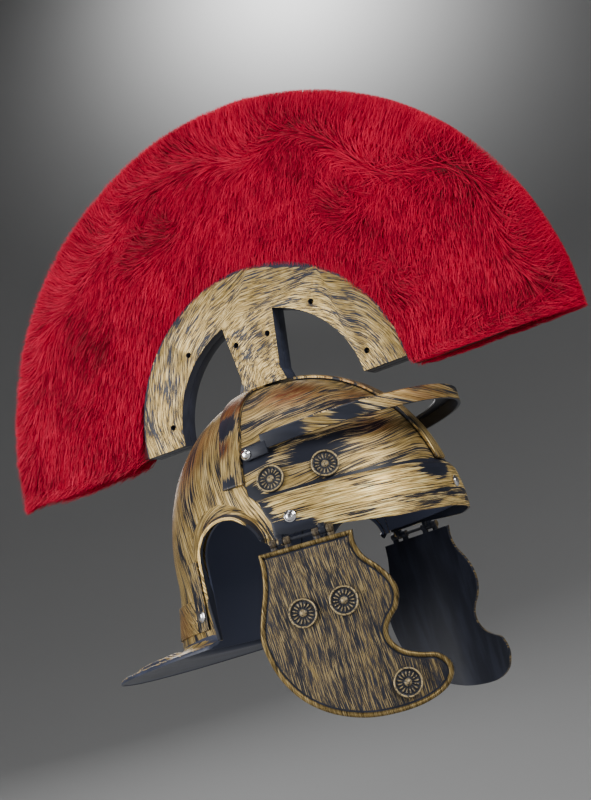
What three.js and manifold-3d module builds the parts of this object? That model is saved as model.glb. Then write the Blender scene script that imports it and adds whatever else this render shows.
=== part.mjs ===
// Roman legionary helmet with a fur crest, in millimetres. +Z is up and -Y is the wearer's front.
// The origin is the inside of the crown, where the helmet sits on a head.
import * as THREE from 'three';
import { mergeVertices } from 'three/addons/utils/BufferGeometryUtils.js';
import Module from 'manifold-3d';

const wasm = await Module();
wasm.setup();

// Driving dimensions
const GAP = 0.35;              // clearance between pieces that lie on each other
const WALL = 2.4;              // skull wall
const HALF_WIDTH = 95;         // skull, outside, at its equator
const FRONT_REACH = 111.8;     // skull, outside, forward of the origin
const REAR_REACH = 99;         // skull, outside, behind the origin
const SKULL_HEIGHT = 122.4;    // equator to the outside of the crown
const SKULL_ROUND = 2.11;      // exponent of the upright section
const FRONT_ROUND = 2.0;       // exponent of the level section, front half
const REAR_ROUND = 2.1;        // exponent of the level section, rear half
const NECK_DEPTH = 46;         // equator to the foot of the neck
const NECK_FLARE = 11;         // how far the neck leans back over that depth
const AROUND = 28;             // facets round the skull
const UPWARD = 8;              // facets from the equator to the crown

const EQUATOR = WALL - SKULL_HEIGHT;
const NECK_FOOT = EQUATOR - NECK_DEPTH;

const FRONT_FOOT = 8;          // front half's lower edge above the equator
const BROW_TOP = 34;           // brow band's upper edge above the equator
const BROW_FOOT = 6.4;         // brow band's lower edge above the equator, at the hinges
const BROW_FALL = 5.4;         // how much lower that edge is at the front
const BROW_SIDE = 2.6;         // brow band proud of the skull at the sides
const BROW_FRONT = 3.4;        // and at the front
const BROW_WALL = 2.0;
const BROW_LEDGE = 5;          // height of the slope that closes the band's top
const BROW_RIVET_TURN = 0.30;  // side rivet's turn forward from the wearer's side, in radians

const RIDGE_WIDTH = 14.5;
const RIDGE_RISE = 2.8;
const BAND_RISE = 2.0;
const BAND_WIDTH = 17.5;       // cross band, at the crown
const SEAM_TOP = 1.5;          // seam's place behind the origin at the crown

const EAR_FRONT = 12.5;        // ear opening's front edge, forward of the origin
const EAR_REAR = 38;           // ear opening's rear edge, behind the origin
const EAR_TOP = 29;            // ear opening's top above the equator
const EAR_RISE = 11;           // how far the ear guard stands out
const EAR_WALL = 2.0;
const EAR_SWELL = 13;          // width of the swelling that carries the ear guard

const STRIP_WIDTH = 11;
const STRIP_RISE = 1.5;
const STRIP_OFFSET = 7.7;      // strip's front edge behind the ear opening
const STRIP_TOP = 9;           // strip's upper end above the equator
const STRIP_FOOT = 9;          // strip's lower end above the foot of the neck
const STRIP_SLANT = 2.5;
const NECK_RIVET_DROP = 27;    // below the equator

const GUARD_REACH = 171;       // neck guard's rear edge behind the origin
const GUARD_HALF_WIDTH = 93;
const GUARD_CENTRE = 44;       // centre of the guard's outline behind the origin
const GUARD_WALL = 2.4;
const GUARD_DROP = 6;          // fall of the guard from the neck to its rim
const GUARD_LIP = 4;           // depth of the rolled rim
const RIB_WIDTH = 5;
const RIB_RISE = 2.2;

const HINGE_TOE = 14;          // degrees between the hinge line and the fore-and-aft line
const HINGE_CLEARANCE = 1.7;   // between the brow band and the knuckles
const HINGE_Y = 9.5;           // cheek plate's rear top corner, forward of the origin
const HINGE_Z = 4.4;           // hinge axis above the plate's top edge
const CHEEK_TOP = 1.6;         // plate's top edge below the equator
const CHEEK_LENGTH = 63;       // plate's top edge
const CHEEK_HEIGHT = 117.5;
const CHEEK_WALL = 2.0;
const CHEEK_BORDER = 3.2;
const CHEEK_BORDER_RISE = 1.5;
const CHEEK_WRAP = 0.0060;     // curve of the plate round the jaw
const CHEEK_WRAP_START = 40;
const CHEEK_LEAN = 0.04;
const KNUCKLE_RADIUS = 2.7;
const KNUCKLE_LENGTH = 4.4;
const KNUCKLES = [0.25, 0.71]; // middles of the two knuckles, as shares of the plate's top edge
const KNUCKLE_SIDES = 8;
const PIN_RADIUS = 1.2;
const PIN_SPAN = 42;

const ROSETTE_RADIUS = 9.5;
const ROSETTE_HEIGHT = 2.4;
const PETALS = 16;
const ROSETTE_CLEARANCE = 1.9; // between the brow band and the rosettes on the bowl

const RIVET_RADIUS = 4.0;
const RIVET_HEIGHT = 1.8;
const SHANK_RADIUS = 1.5;

const PEAK_PIVOT_Y = 10;       // pivot forward of the origin
const PEAK_PIVOT_Z = 66.5;     // pivot above the equator
const PEAK_CLEARANCE = 2.9;    // between the skull and the peak's tabs
const PEAK_REACH = 121;        // from the pivot to the front
const PEAK_TILT = 3;           // degrees, nose up
const PEAK_LIP = 10.5;
const PEAK_WALL = 2.0;
const PEAK_PLATE = 17;         // width of the flat part at the front
const PEAK_TAB = 8.6;          // height of the tabs round the pivots

const ARCH_RADIUS = 110;
const ARCH_INNER = 76.5;
const ARCH_CENTRE = 17.5;      // below the origin
const HOLDER_DEPTH = 9.1;      // one half of the crest holder
const HOLDER_WALL = 2.0;
const SCREW_RADIUS = 2.1;
const ARCH_FRONT_CUT = 6.5;    // how far the arch's front end stays above its centre
const POST_JOIN = 7;           // how far the post runs into the arch
const POST_REAR_TOP = 24.5;    // post's edges behind and before the origin
const POST_REAR_FOOT = 18;
const POST_FRONT_TOP = 21.5;
const POST_FRONT_FOOT = 14.5;
const FOOT_HEIGHT = 9;
const FOOT_FLARE = 7;

const PLUME_REACH = 126;       // length of the fur beyond the arch
const PLUME_HALF = 15;
const LOCKS = 24;
const LOCK_DEPTH = 3.2;
const LOCK_RAGGED = 6;

// Finishes
const finish = (color, roughness, metalness) => new THREE.MeshStandardMaterial({ color, roughness, metalness });
const goldBrushed = () => finish(0x8c7446, 0.45, 0.55);
const darkPlastic = () => finish(0x20232a, 0.5, 0.2);
const chrome = () => finish(0xc8c8ca, 0.25, 0.9);
const crimsonFur = () => finish(0xb00a22, 0.9, 0.0);

const helmet = new THREE.Group();

function place(name, geometry, material, parent = helmet) {
  const mesh = new THREE.Mesh(geometry, material);
  mesh.name = name;
  parent.add(mesh);
  return mesh;
}

// Closed meshes and solids
function solidOf(geometry) {
  const bare = geometry.clone();
  bare.deleteAttribute('normal');
  bare.deleteAttribute('uv');
  const merged = mergeVertices(bare, 1e-4);
  const vertProperties = new Float32Array(merged.attributes.position.array);
  const triVerts = new Uint32Array(merged.index.array);
  return new wasm.Manifold(new wasm.Mesh({ numProp: 3, vertProperties, triVerts }));
}

function geometryOf(solid) {
  const mesh = solid.getMesh();
  const geometry = new THREE.BufferGeometry();
  geometry.setAttribute('position', new THREE.BufferAttribute(new Float32Array(mesh.vertProperties), 3));
  geometry.setIndex(new THREE.BufferAttribute(new Uint32Array(mesh.triVerts), 1));
  return geometry;
}

function meshOf(points, faces) {
  const geometry = new THREE.BufferGeometry();
  geometry.setAttribute('position', new THREE.Float32BufferAttribute(points.flatMap((p) => [p.x, p.y, p.z]), 3));
  geometry.setIndex(faces.flat());
  return geometry;
}

function mirrored(geometry) {
  const copy = geometry.clone().scale(-1, 1, 1);
  const index = copy.index.array;
  for (let i = 0; i < index.length; i += 3) [index[i], index[i + 1]] = [index[i + 1], index[i]];
  return copy;
}

// Rows of points round a closed body, each row a ring, with a fan on the first and the last.
function ringsToMesh(rings, first, last) {
  const points = rings.flat();
  const count = rings[0].length;
  const faces = [];
  for (let r = 0; r + 1 < rings.length; r += 1) {
    for (let i = 0; i < count; i += 1) {
      const j = (i + 1) % count;
      const a = r * count;
      const b = a + count;
      faces.push([a + i, a + j, b + j], [a + i, b + j, b + i]);
    }
  }
  points.push(first, last);
  const top = (rings.length - 1) * count;
  for (let i = 0; i < count; i += 1) {
    const j = (i + 1) % count;
    faces.push([points.length - 2, j, i], [points.length - 1, top + i, top + j]);
  }
  return meshOf(points, faces);
}

// A sheet with two skins, each a grid of rows, closed along its four edges.
function sheetToMesh(upper, lower) {
  const rows = upper.length;
  const columns = upper[0].length;
  const at = (side, r, c) => side * rows * columns + r * columns + c;
  const faces = [];
  const quad = (a, b, c, d) => faces.push([a, b, c], [a, c, d]);
  for (let r = 0; r + 1 < rows; r += 1) {
    for (let c = 0; c + 1 < columns; c += 1) {
      quad(at(0, r, c), at(0, r, c + 1), at(0, r + 1, c + 1), at(0, r + 1, c));
      quad(at(1, r, c), at(1, r + 1, c), at(1, r + 1, c + 1), at(1, r, c + 1));
    }
  }
  for (let r = 0; r + 1 < rows; r += 1) {
    quad(at(0, r, 0), at(0, r + 1, 0), at(1, r + 1, 0), at(1, r, 0));
    quad(at(0, r, columns - 1), at(1, r, columns - 1), at(1, r + 1, columns - 1), at(0, r + 1, columns - 1));
  }
  for (let c = 0; c + 1 < columns; c += 1) {
    quad(at(0, 0, c), at(1, 0, c), at(1, 0, c + 1), at(0, 0, c + 1));
    quad(at(0, rows - 1, c), at(0, rows - 1, c + 1), at(1, rows - 1, c + 1), at(1, rows - 1, c));
  }
  return meshOf([...upper.flat(), ...lower.flat()], faces);
}

// One closed section moved along a path, given as a list of rings, with flat ends.
function sweepToMesh(rings) {
  const middle = (ring) => ring.reduce((sum, p) => sum.add(p), new THREE.Vector3()).divideScalar(ring.length);
  return ringsToMesh(rings, middle(rings[0]), middle(rings[rings.length - 1]));
}

// An outline drawn in (y, z), extruded along X between two places.
function sidePrism(outline, low, high) {
  const shape = new THREE.Shape(outline.map(([y, z]) => new THREE.Vector2(y, z)));
  const geometry = new THREE.ExtrudeGeometry(shape, { depth: high - low, bevelEnabled: false });
  const turn = new THREE.Matrix4().makeBasis(
    new THREE.Vector3(0, 1, 0), new THREE.Vector3(0, 0, 1), new THREE.Vector3(1, 0, 0));
  return solidOf(geometry.applyMatrix4(turn).translate(low, 0, 0));
}

// The skull's form
const signedPower = (value, power) => Math.sign(value) * Math.abs(value) ** power;

function skullRing(level, grow) {
  const height = (level - EQUATOR) / (SKULL_HEIGHT + grow);
  const shrink = height > 0 ? Math.max(1 - height ** SKULL_ROUND, 0) ** (1 / SKULL_ROUND) : 1;
  const depth = Math.max(EQUATOR - level, 0) / NECK_DEPTH;
  const flare = NECK_FLARE * depth ** 1.3;
  return {
    halfWidth: (HALF_WIDTH + grow) * shrink,
    front: (FRONT_REACH + grow) * shrink,
    rear: (REAR_REACH + grow) * shrink + flare,
  };
}

function ringPoint(ring, angle, level) {
  const across = Math.cos(angle);
  const along = Math.sin(angle);
  const round = along < 0 ? FRONT_ROUND : REAR_ROUND;
  const reach = along < 0 ? ring.front : ring.rear;
  return new THREE.Vector3(
    ring.halfWidth * signedPower(across, 2 / round), reach * signedPower(along, 2 / round), level);
}

// Outside of the skull at the wearer's left for a place (y, z), grown by a distance.
function skullSide(y, z, grow = 0) {
  const ring = skullRing(z, grow);
  const round = y < 0 ? FRONT_ROUND : REAR_ROUND;
  const reach = y < 0 ? ring.front : ring.rear;
  return ring.halfWidth * Math.max(1 - (Math.abs(y) / reach) ** round, 0) ** (1 / round);
}

function skullSolid(grow, foot) {
  const rings = [];
  const angles = Array.from({ length: AROUND }, (_, i) => (2 * Math.PI * i) / AROUND);
  const ringAt = (level) => angles.map((angle) => ringPoint(skullRing(level, grow), angle, level));
  const steps = 3;
  for (let i = 0; i <= steps; i += 1) rings.push(ringAt(foot + ((EQUATOR - foot) * i) / steps));
  for (let i = 1; i < UPWARD; i += 1) {
    const rise = Math.sin((Math.PI / 2) * (i / UPWARD)) ** (2 / SKULL_ROUND);
    rings.push(ringAt(EQUATOR + (SKULL_HEIGHT + grow) * rise));
  }
  const crown = new THREE.Vector3(0, 0, EQUATOR + SKULL_HEIGHT + grow);
  return solidOf(ringsToMesh(rings, new THREE.Vector3(0, 0, foot), crown));
}

// The skull's halves meet on a seam. Each row is its place forward of the seam's top, as a share of
// the skull's front reach, and its height above the equator, as a share of the skull's height.
const SEAM = [
  [0, 1.16], [0, 0.87], [0.034, 0.706], [0.05, 0.555], [0.06, 0.39], [0.07, 0.318],
  [0.139, 0.253], [0.165, 0.18], [0.19, 0.14],
];
const seamLine = SEAM.map(([forward, height]) => [SEAM_TOP - forward * FRONT_REACH, EQUATOR + height * SKULL_HEIGHT]);
const LOW = NECK_FOOT - 60;
const FAR = 320;

const outerSkull = skullSolid(0, LOW);
const innerSkull = skullSolid(-WALL, LOW - 10);
const skullShell = outerSkull.subtract(innerSkull);

function frontRegion(back, foot) {
  const line = seamLine.map(([y, z]) => [y - back, z]);
  const lastY = line[line.length - 1][0];
  return sidePrism([...line, [lastY, foot], [-FAR, foot], [-FAR, line[0][1]]], -FAR, FAR);
}

function bowlFront() {
  return skullShell.intersect(frontRegion(GAP, EQUATOR + FRONT_FOOT));
}

// The ear opening's edge from its front foot over the top to its rear foot, grown outwards by a spread.
function earEdge(spread, steps) {
  const middle = (EAR_REAR - EAR_FRONT) / 2 - 1;
  const half = (EAR_REAR + EAR_FRONT) / 2;
  const spring = EQUATOR + 4;
  const rise = EAR_TOP - 4;
  const edge = [[-EAR_FRONT + 1 - spread, EQUATOR + BROW_FOOT + 0.5]];
  for (let i = 0; i <= steps; i += 1) {
    const angle = Math.PI * (1 - i / steps);
    edge.push([middle + (half + spread) * Math.cos(angle), spring + (rise + spread) * Math.sin(angle)]);
  }
  edge[1] = [edge[1][0], Math.max(edge[1][1], EQUATOR + BROW_FOOT + 6)];
  edge.push([EAR_REAR + spread, EQUATOR - 14], [EAR_REAR + 1 + spread, EQUATOR - 30], [EAR_REAR + 1.6 + spread, NECK_FOOT]);
  return edge;
}

function earRegion(side) {
  const edge = earEdge(0.6, 10);
  const first = edge[0];
  const last = edge[edge.length - 1];
  const outline = [[first[0], LOW], ...edge, [last[0], LOW]];
  return side < 0 ? sidePrism(outline, -FAR, -20) : sidePrism(outline, 20, FAR);
}

// The ear guard grows out of the skull in a hollow curve and stands out round the opening.
function earGuard() {
  const path = earEdge(0, 9);
  const count = path.length;
  const outer = [];
  const inner = [];
  const rows = 3;
  const swell = (share) => 2.2 + EAR_SWELL * Math.sin(Math.PI * Math.min(Math.max((share - 0.18) / 0.56, 0), 1)) ** 1.3;
  const stand = (share) => EAR_RISE * (0.45 + 0.55 * Math.min(share / 0.16, 1)) * (1 - 0.55 * Math.max((share - 0.75) / 0.25, 0));
  for (let r = -1; r <= rows; r += 1) {
    const outerRow = [];
    const innerRow = [];
    for (let i = 0; i < count; i += 1) {
      const share = i / (count - 1);
      const before = path[Math.max(i - 1, 0)];
      const after = path[Math.min(i + 1, count - 1)];
      const along = new THREE.Vector2(after[0] - before[0], after[1] - before[1]).normalize();
      const out = new THREE.Vector2(-along.y, along.x);
      const turn = (Math.PI / 2) * Math.max(r, 0) / rows;
      const spread = swell(share) * (1 - Math.sin(turn)) + (r < 0 ? 2 : 0);
      const rise = stand(share) * (1 - Math.cos(turn)) - (r < 0 ? 0.8 : 0);
      const thick = r < 0 ? WALL - 1.2 : EAR_WALL;
      const put = (offset, lift) => {
        const y = path[i][0] + out.x * offset;
        const z = path[i][1] + out.y * offset;
        return new THREE.Vector3(-(skullSide(y, z) + lift), y, z);
      };
      outerRow.push(put(spread, rise));
      const inwards = r < 0 ? 0 : Math.sin(turn);
      const down = r < 0 ? 1 : Math.cos(turn);
      innerRow.push(put(spread - thick * inwards, rise - thick * down));
    }
    outer.push(outerRow);
    inner.push(innerRow);
  }
  return solidOf(sheetToMesh(outer, inner));
}

// The neck guard: a crescent plate that leaves the neck in a small curve and ends in a rolled rim.
function neckBase(angle, inset = 0) {
  const ring = skullRing(NECK_FOOT + 6, -inset);
  return ringPoint(ring, angle, 0);
}

function guardRim(angle) {
  return new THREE.Vector3(GUARD_HALF_WIDTH * Math.cos(angle), GUARD_CENTRE + (GUARD_REACH - GUARD_CENTRE) * Math.sin(angle), 0);
}

const GUARD_START = Math.asin((EAR_REAR + 2) / (REAR_REACH + NECK_FLARE));

function neckGuard() {
  const columns = 14;
  const upper = [];
  const lower = [];
  for (let i = 0; i <= columns; i += 1) {
    const share = i / columns;
    const baseAngle = GUARD_START + (Math.PI - 2 * GUARD_START) * share;
    const base = neckBase(baseAngle, 0);
    const rim = guardRim(Math.PI * (0.012 + 0.976 * share));
    const out = rim.clone().sub(base);
    const reach = Math.max(out.length(), 4);
    out.setLength(1);
    const curve = Math.min(6, reach * 0.5);
    const level = NECK_FOOT;
    const fall = GUARD_DROP * (reach / (GUARD_REACH - REAR_REACH - NECK_FLARE));
    const up = [];
    const low = [];
    const put = (list, along, z) => list.push(base.clone().addScaledVector(out, along).setZ(z));
    put(up, -0.7, level + 9);
    put(low, -1.8, level + 9);
    put(up, 0, level + curve);
    put(low, -GUARD_WALL, level + curve);
    put(up, curve * 0.3, level + curve * 0.3);
    put(low, curve * 0.3 - GUARD_WALL * 0.7, level + curve * 0.3 - GUARD_WALL * 0.7);
    put(up, curve, level);
    put(low, curve, level - GUARD_WALL);
    put(up, reach * 0.96, level - fall);
    put(low, reach * 0.96 - 0.6, level - fall - GUARD_WALL);
    put(up, reach, level - fall - 1.5);
    put(low, reach - GUARD_WALL, level - fall - GUARD_LIP);
    upper.push(up);
    lower.push(low);
  }
  const plate = solidOf(sheetToMesh(upper, lower));
  return [0.3, 0.52, 0.74].reduce((solid, share) => solid.add(guardRib(share)), plate);
}

// A raised rib that follows the crescent on the guard's upper side, at a share of its width.
function guardRib(share) {
  const rings = [];
  const steps = 8;
  for (let i = 0; i <= steps; i += 1) {
    const along = 0.14 + (0.72 * i) / steps;
    const base = neckBase(GUARD_START + (Math.PI - 2 * GUARD_START) * along);
    const rim = guardRim(Math.PI * (0.012 + 0.976 * along));
    const out = rim.clone().sub(base);
    const reach = out.length();
    out.setLength(1);
    const curve = Math.min(6, reach * 0.5);
    const fall = GUARD_DROP * (reach / (GUARD_REACH - REAR_REACH - NECK_FLARE));
    const middle = reach * (0.12 + 0.8 * share);
    const slope = (middle - curve) / (reach * 0.96 - curve);
    const z = NECK_FOOT - fall * slope;
    const at = (offset, lift) => base.clone().addScaledVector(out, middle + offset).setZ(z + lift);
    rings.push([at(-RIB_WIDTH / 4, RIB_RISE), at(RIB_WIDTH / 4, RIB_RISE), at(RIB_WIDTH / 2, -1), at(-RIB_WIDTH / 2, -1)]);
  }
  return solidOf(sweepToMesh(rings));
}

function bowlRear() {
  const line = [...seamLine];
  const lastY = line[line.length - 1][0];
  const region = sidePrism([
    [FAR, NECK_FOOT + 1], [FAR, line[0][1]], ...line, [lastY, EQUATOR + BROW_FOOT], [10, EQUATOR + BROW_FOOT],
    [10, NECK_FOOT + 1],
  ], -FAR, FAR);
  let rear = skullShell.intersect(region).subtract(earRegion(-1)).subtract(earRegion(1));
  const guard = earGuard();
  rear = rear.add(guard).add(solidOf(mirrored(geometryOf(guard))));
  return rear.add(neckGuard());
}

// A skin that lies on the skull inside an outline seen from the side.
function skullSkin(outline, rise, low = -FAR, high = FAR) {
  return skullSolid(GAP + rise, LOW).subtract(skullSolid(GAP, LOW - 10)).intersect(sidePrism(outline, low, high));
}

function crownRidge() {
  const half = RIDGE_WIDTH / 2;
  const outline = [
    [-SEAM_TOP - 18, EQUATOR + BROW_TOP + 1.5], [-SEAM_TOP - 18, FAR], [-FAR, FAR], [-FAR, EQUATOR + BROW_TOP + 1.5],
  ];
  return skullSkin(outline, RIDGE_RISE, -half, half);
}

function crossBand() {
  const seam = seamLine.slice(0, 5).map(([y, z]) => [y + GAP, z]);
  const rear = seam.map(([y, z], i) => [y + BAND_WIDTH - 0.4 * i, z]).reverse();
  return skullSkin([...seam, ...rear], BAND_RISE);
}

function neckStrip() {
  const top = EQUATOR + STRIP_TOP;
  const foot = NECK_FOOT + STRIP_FOOT;
  const y = EAR_REAR + STRIP_OFFSET;
  const outline = [[y, top], [y + STRIP_WIDTH, top], [y + STRIP_WIDTH + STRIP_SLANT, foot], [y + STRIP_SLANT, foot]];
  return skullSkin(outline, STRIP_RISE, -FAR, -20);
}

// The brow band: a channel that lies round the front of the skull
const browFoot = (angle) => BROW_FOOT - BROW_FALL * Math.min(Math.max((-Math.sin(angle) - 0.3) / 0.45, 0), 1);
const browProud = (angle) => BROW_SIDE + (BROW_FRONT - BROW_SIDE) * Math.max(-Math.sin(angle), 0) ** 2;
const BROW_SWELL = 0.6;        // the band is fullest half way up
const browMiddle = EQUATOR + (BROW_TOP - BROW_LEDGE + BROW_FOOT) / 2;

function browPlace(angle, lift) {
  const at = (a) => ringPoint(skullRing(browMiddle, browProud(a) + BROW_SWELL + lift), a, browMiddle);
  const along = at(angle + 0.02).sub(at(angle - 0.02));
  return { at: at(angle), normal: new THREE.Vector3(along.y, -along.x, 0).normalize() };
}

function browBand() {
  const columns = AROUND / 2;
  const outer = [];
  const inner = [];
  const top = EQUATOR + BROW_TOP;
  const ledge = top - BROW_LEDGE;
  for (let i = 0; i <= columns; i += 1) {
    const angle = Math.PI * (1 + i / columns);
    const proud = browProud(angle);
    const foot = EQUATOR + browFoot(angle);
    const put = (grow, z) => ringPoint(skullRing(z, grow), angle, z);
    outer.push([
      put(GAP + 0.2, top), put(GAP + 1.4, top), put(proud, ledge), put(proud + BROW_SWELL, browMiddle),
      put(proud + 0.3, foot), put(GAP, foot),
    ]);
    const within = proud - BROW_WALL;
    inner.push([
      put(GAP, top - 1.6), put(Math.max(GAP, 0.4), top - 1.9), put(Math.max(within, GAP), ledge - 0.6),
      put(Math.max(within + BROW_SWELL, GAP), browMiddle), put(Math.max(within + 0.3, GAP), foot + 1.8), put(GAP, foot + 1.8),
    ]);
  }
  const band = solidOf(sheetToMesh(outer, inner));
  let cut = band.intersect(frontRegion(GAP * 2, EQUATOR - BROW_FALL));
  for (const side of [-1, 1]) {
    for (const share of KNUCKLES) {
      const lug = hingeLug(share * CHEEK_LENGTH);
      cut = cut.add(side < 0 ? lug : solidOf(mirrored(geometryOf(lug))));
    }
  }
  return cut;
}

// The hinge's frame on the right: X runs forward along the hinge line, Y is up and Z points outwards.
const toe = THREE.MathUtils.degToRad(HINGE_TOE);
const hingeX = HALF_WIDTH + BROW_SIDE + HINGE_CLEARANCE + KNUCKLE_RADIUS + CHEEK_WALL / 2;
const hingeAlong = new THREE.Vector3(Math.sin(toe), -Math.cos(toe), 0);
const hingeOut = new THREE.Vector3(-Math.cos(toe), -Math.sin(toe), 0);
const hingeFrame = new THREE.Matrix4().makeBasis(hingeAlong, new THREE.Vector3(0, 0, 1), hingeOut);
hingeFrame.setPosition(-hingeX, -HINGE_Y, EQUATOR - CHEEK_TOP);

function knuckle(start, length, radius, bore) {
  const outer = new THREE.CylinderGeometry(radius, radius, length, KNUCKLE_SIDES).rotateZ(Math.PI / 2);
  outer.translate(start + length / 2, HINGE_Z, -CHEEK_WALL / 2);
  if (!bore) return solidOf(outer);
  const hole = new THREE.CylinderGeometry(bore, bore, length + 2, KNUCKLE_SIDES).rotateZ(Math.PI / 2);
  hole.translate(start + length / 2, HINGE_Z, -CHEEK_WALL / 2);
  return solidOf(outer).subtract(solidOf(hole));
}

const BORE = PIN_RADIUS + GAP + 0.05;

// A lug under the brow band: its arm reaches in as far as the band's wall.
function hingeLug(middle) {
  const start = middle - KNUCKLE_LENGTH / 2;
  const at = new THREE.Vector3(middle, HINGE_Z, -CHEEK_WALL / 2).applyMatrix4(hingeFrame);
  const wall = skullSide(at.y, EQUATOR, BROW_SIDE - BROW_WALL / 2);
  const reach = (Math.abs(at.x) - wall) / Math.cos(toe) + 1.2;
  const rise = BROW_FOOT + CHEEK_TOP - HINGE_Z + 1.6;
  const arm = new THREE.BoxGeometry(KNUCKLE_LENGTH, rise, reach);
  arm.translate(middle, HINGE_Z + rise / 2 - 0.2, -CHEEK_WALL / 2 - reach / 2 + 1.2);
  const bore = new THREE.CylinderGeometry(BORE, BORE, KNUCKLE_LENGTH + 2, KNUCKLE_SIDES).rotateZ(Math.PI / 2);
  bore.translate(middle, HINGE_Z, -CHEEK_WALL / 2);
  const lug = knuckle(start, KNUCKLE_LENGTH, KNUCKLE_RADIUS, 0).add(solidOf(arm)).subtract(solidOf(bore));
  return solidOf(geometryOf(lug).applyMatrix4(hingeFrame));
}

function hingePin() {
  const middle = (CHEEK_LENGTH * (KNUCKLES[0] + KNUCKLES[1])) / 2;
  const pin = new THREE.CylinderGeometry(PIN_RADIUS, PIN_RADIUS, PIN_SPAN, 10).rotateZ(Math.PI / 2);
  return pin.translate(middle, HINGE_Z, -CHEEK_WALL / 2).applyMatrix4(hingeFrame);
}

// Cheek plate's outline from its front top corner round to its rear top corner,
// as shares of the top edge's length and of the plate's height.
const CHEEK_OUTLINE = [
  [1.0, 0], [0.99, 0.07], [1.04, 0.15], [1.15, 0.22], [1.24, 0.30], [1.27, 0.38], [1.22, 0.46], [1.12, 0.52],
  [1.07, 0.575], [1.09, 0.635], [1.18, 0.69], [1.32, 0.725], [1.47, 0.75], [1.56, 0.81], [1.56, 0.875],
  [1.45, 0.945], [1.22, 0.99], [0.93, 1.0], [0.62, 0.98], [0.31, 0.915], [0.06, 0.81], [-0.11, 0.67],
  [-0.19, 0.52], [-0.19, 0.42], [-0.12, 0.30], [-0.05, 0.20], [-0.01, 0.10], [0, 0],
];

function cheekOutline(steps) {
  const curve = new THREE.CatmullRomCurve3(
    CHEEK_OUTLINE.map(([s, t]) => new THREE.Vector3(s * CHEEK_LENGTH, -t * CHEEK_HEIGHT, 0)), false, 'centripetal');
  return curve.getPoints(steps).map((p) => new THREE.Vector2(p.x, p.y));
}

function insetOutline(points, inset) {
  return points.map((p, i) => {
    const before = points[(i + points.length - 1) % points.length];
    const after = points[(i + 1) % points.length];
    const first = p.clone().sub(before).normalize();
    const second = after.clone().sub(p).normalize();
    const along = first.clone().add(second).normalize();
    const reach = inset / Math.max(along.dot(second), 0.5);
    return new THREE.Vector2(p.x - along.y * -reach, p.y + along.x * -reach);
  });
}

function platePrism(points) {
  const geometry = new THREE.ExtrudeGeometry(new THREE.Shape(points), { depth: 90, bevelEnabled: false });
  return solidOf(geometry.translate(0, 0, -70));
}

const cheekBend = (s, t) => CHEEK_WRAP * Math.max(s - CHEEK_WRAP_START, 0) ** 2 + CHEEK_LEAN * t;

function cheekSlab(rise, thick) {
  const upper = [];
  const lower = [];
  const columns = 7;
  for (const t of [-6, 0, CHEEK_HEIGHT + 6]) {
    const up = [];
    const low = [];
    for (let c = 0; c <= columns; c += 1) {
      const s = -0.35 * CHEEK_LENGTH + (2.05 * CHEEK_LENGTH * c) / columns;
      const face = rise - cheekBend(s, Math.max(t, 0));
      up.push(new THREE.Vector3(s, -t, face));
      low.push(new THREE.Vector3(s, -t, face - thick));
    }
    upper.push(up);
    lower.push(low);
  }
  return solidOf(sheetToMesh(lower, upper));
}

function cheekGuard() {
  const outline = cheekOutline(28);
  const border = insetOutline(outline, CHEEK_BORDER);
  let plate = cheekSlab(0, CHEEK_WALL).intersect(platePrism(outline));
  const rim = cheekSlab(CHEEK_BORDER_RISE, CHEEK_WALL + CHEEK_BORDER_RISE / 2)
    .intersect(platePrism(outline).subtract(platePrism(border)));
  plate = plate.add(rim);
  for (const share of KNUCKLES) {
    for (const side of [-1, 1]) {
      const start = share * CHEEK_LENGTH + side * (KNUCKLE_LENGTH + GAP) - KNUCKLE_LENGTH / 2;
      const neck = new THREE.BoxGeometry(KNUCKLE_LENGTH, HINGE_Z, CHEEK_WALL);
      neck.translate(start + KNUCKLE_LENGTH / 2, HINGE_Z / 2 - 0.8, -CHEEK_WALL / 2);
      const bore = new THREE.CylinderGeometry(BORE, BORE, KNUCKLE_LENGTH + 1, KNUCKLE_SIDES).rotateZ(Math.PI / 2);
      bore.translate(start + KNUCKLE_LENGTH / 2, HINGE_Z, -CHEEK_WALL / 2);
      plate = plate.add(solidOf(neck)).add(knuckle(start, KNUCKLE_LENGTH, KNUCKLE_RADIUS, 0)).subtract(solidOf(bore));
    }
  }
  return geometryOf(plate).applyMatrix4(hingeFrame);
}

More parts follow.
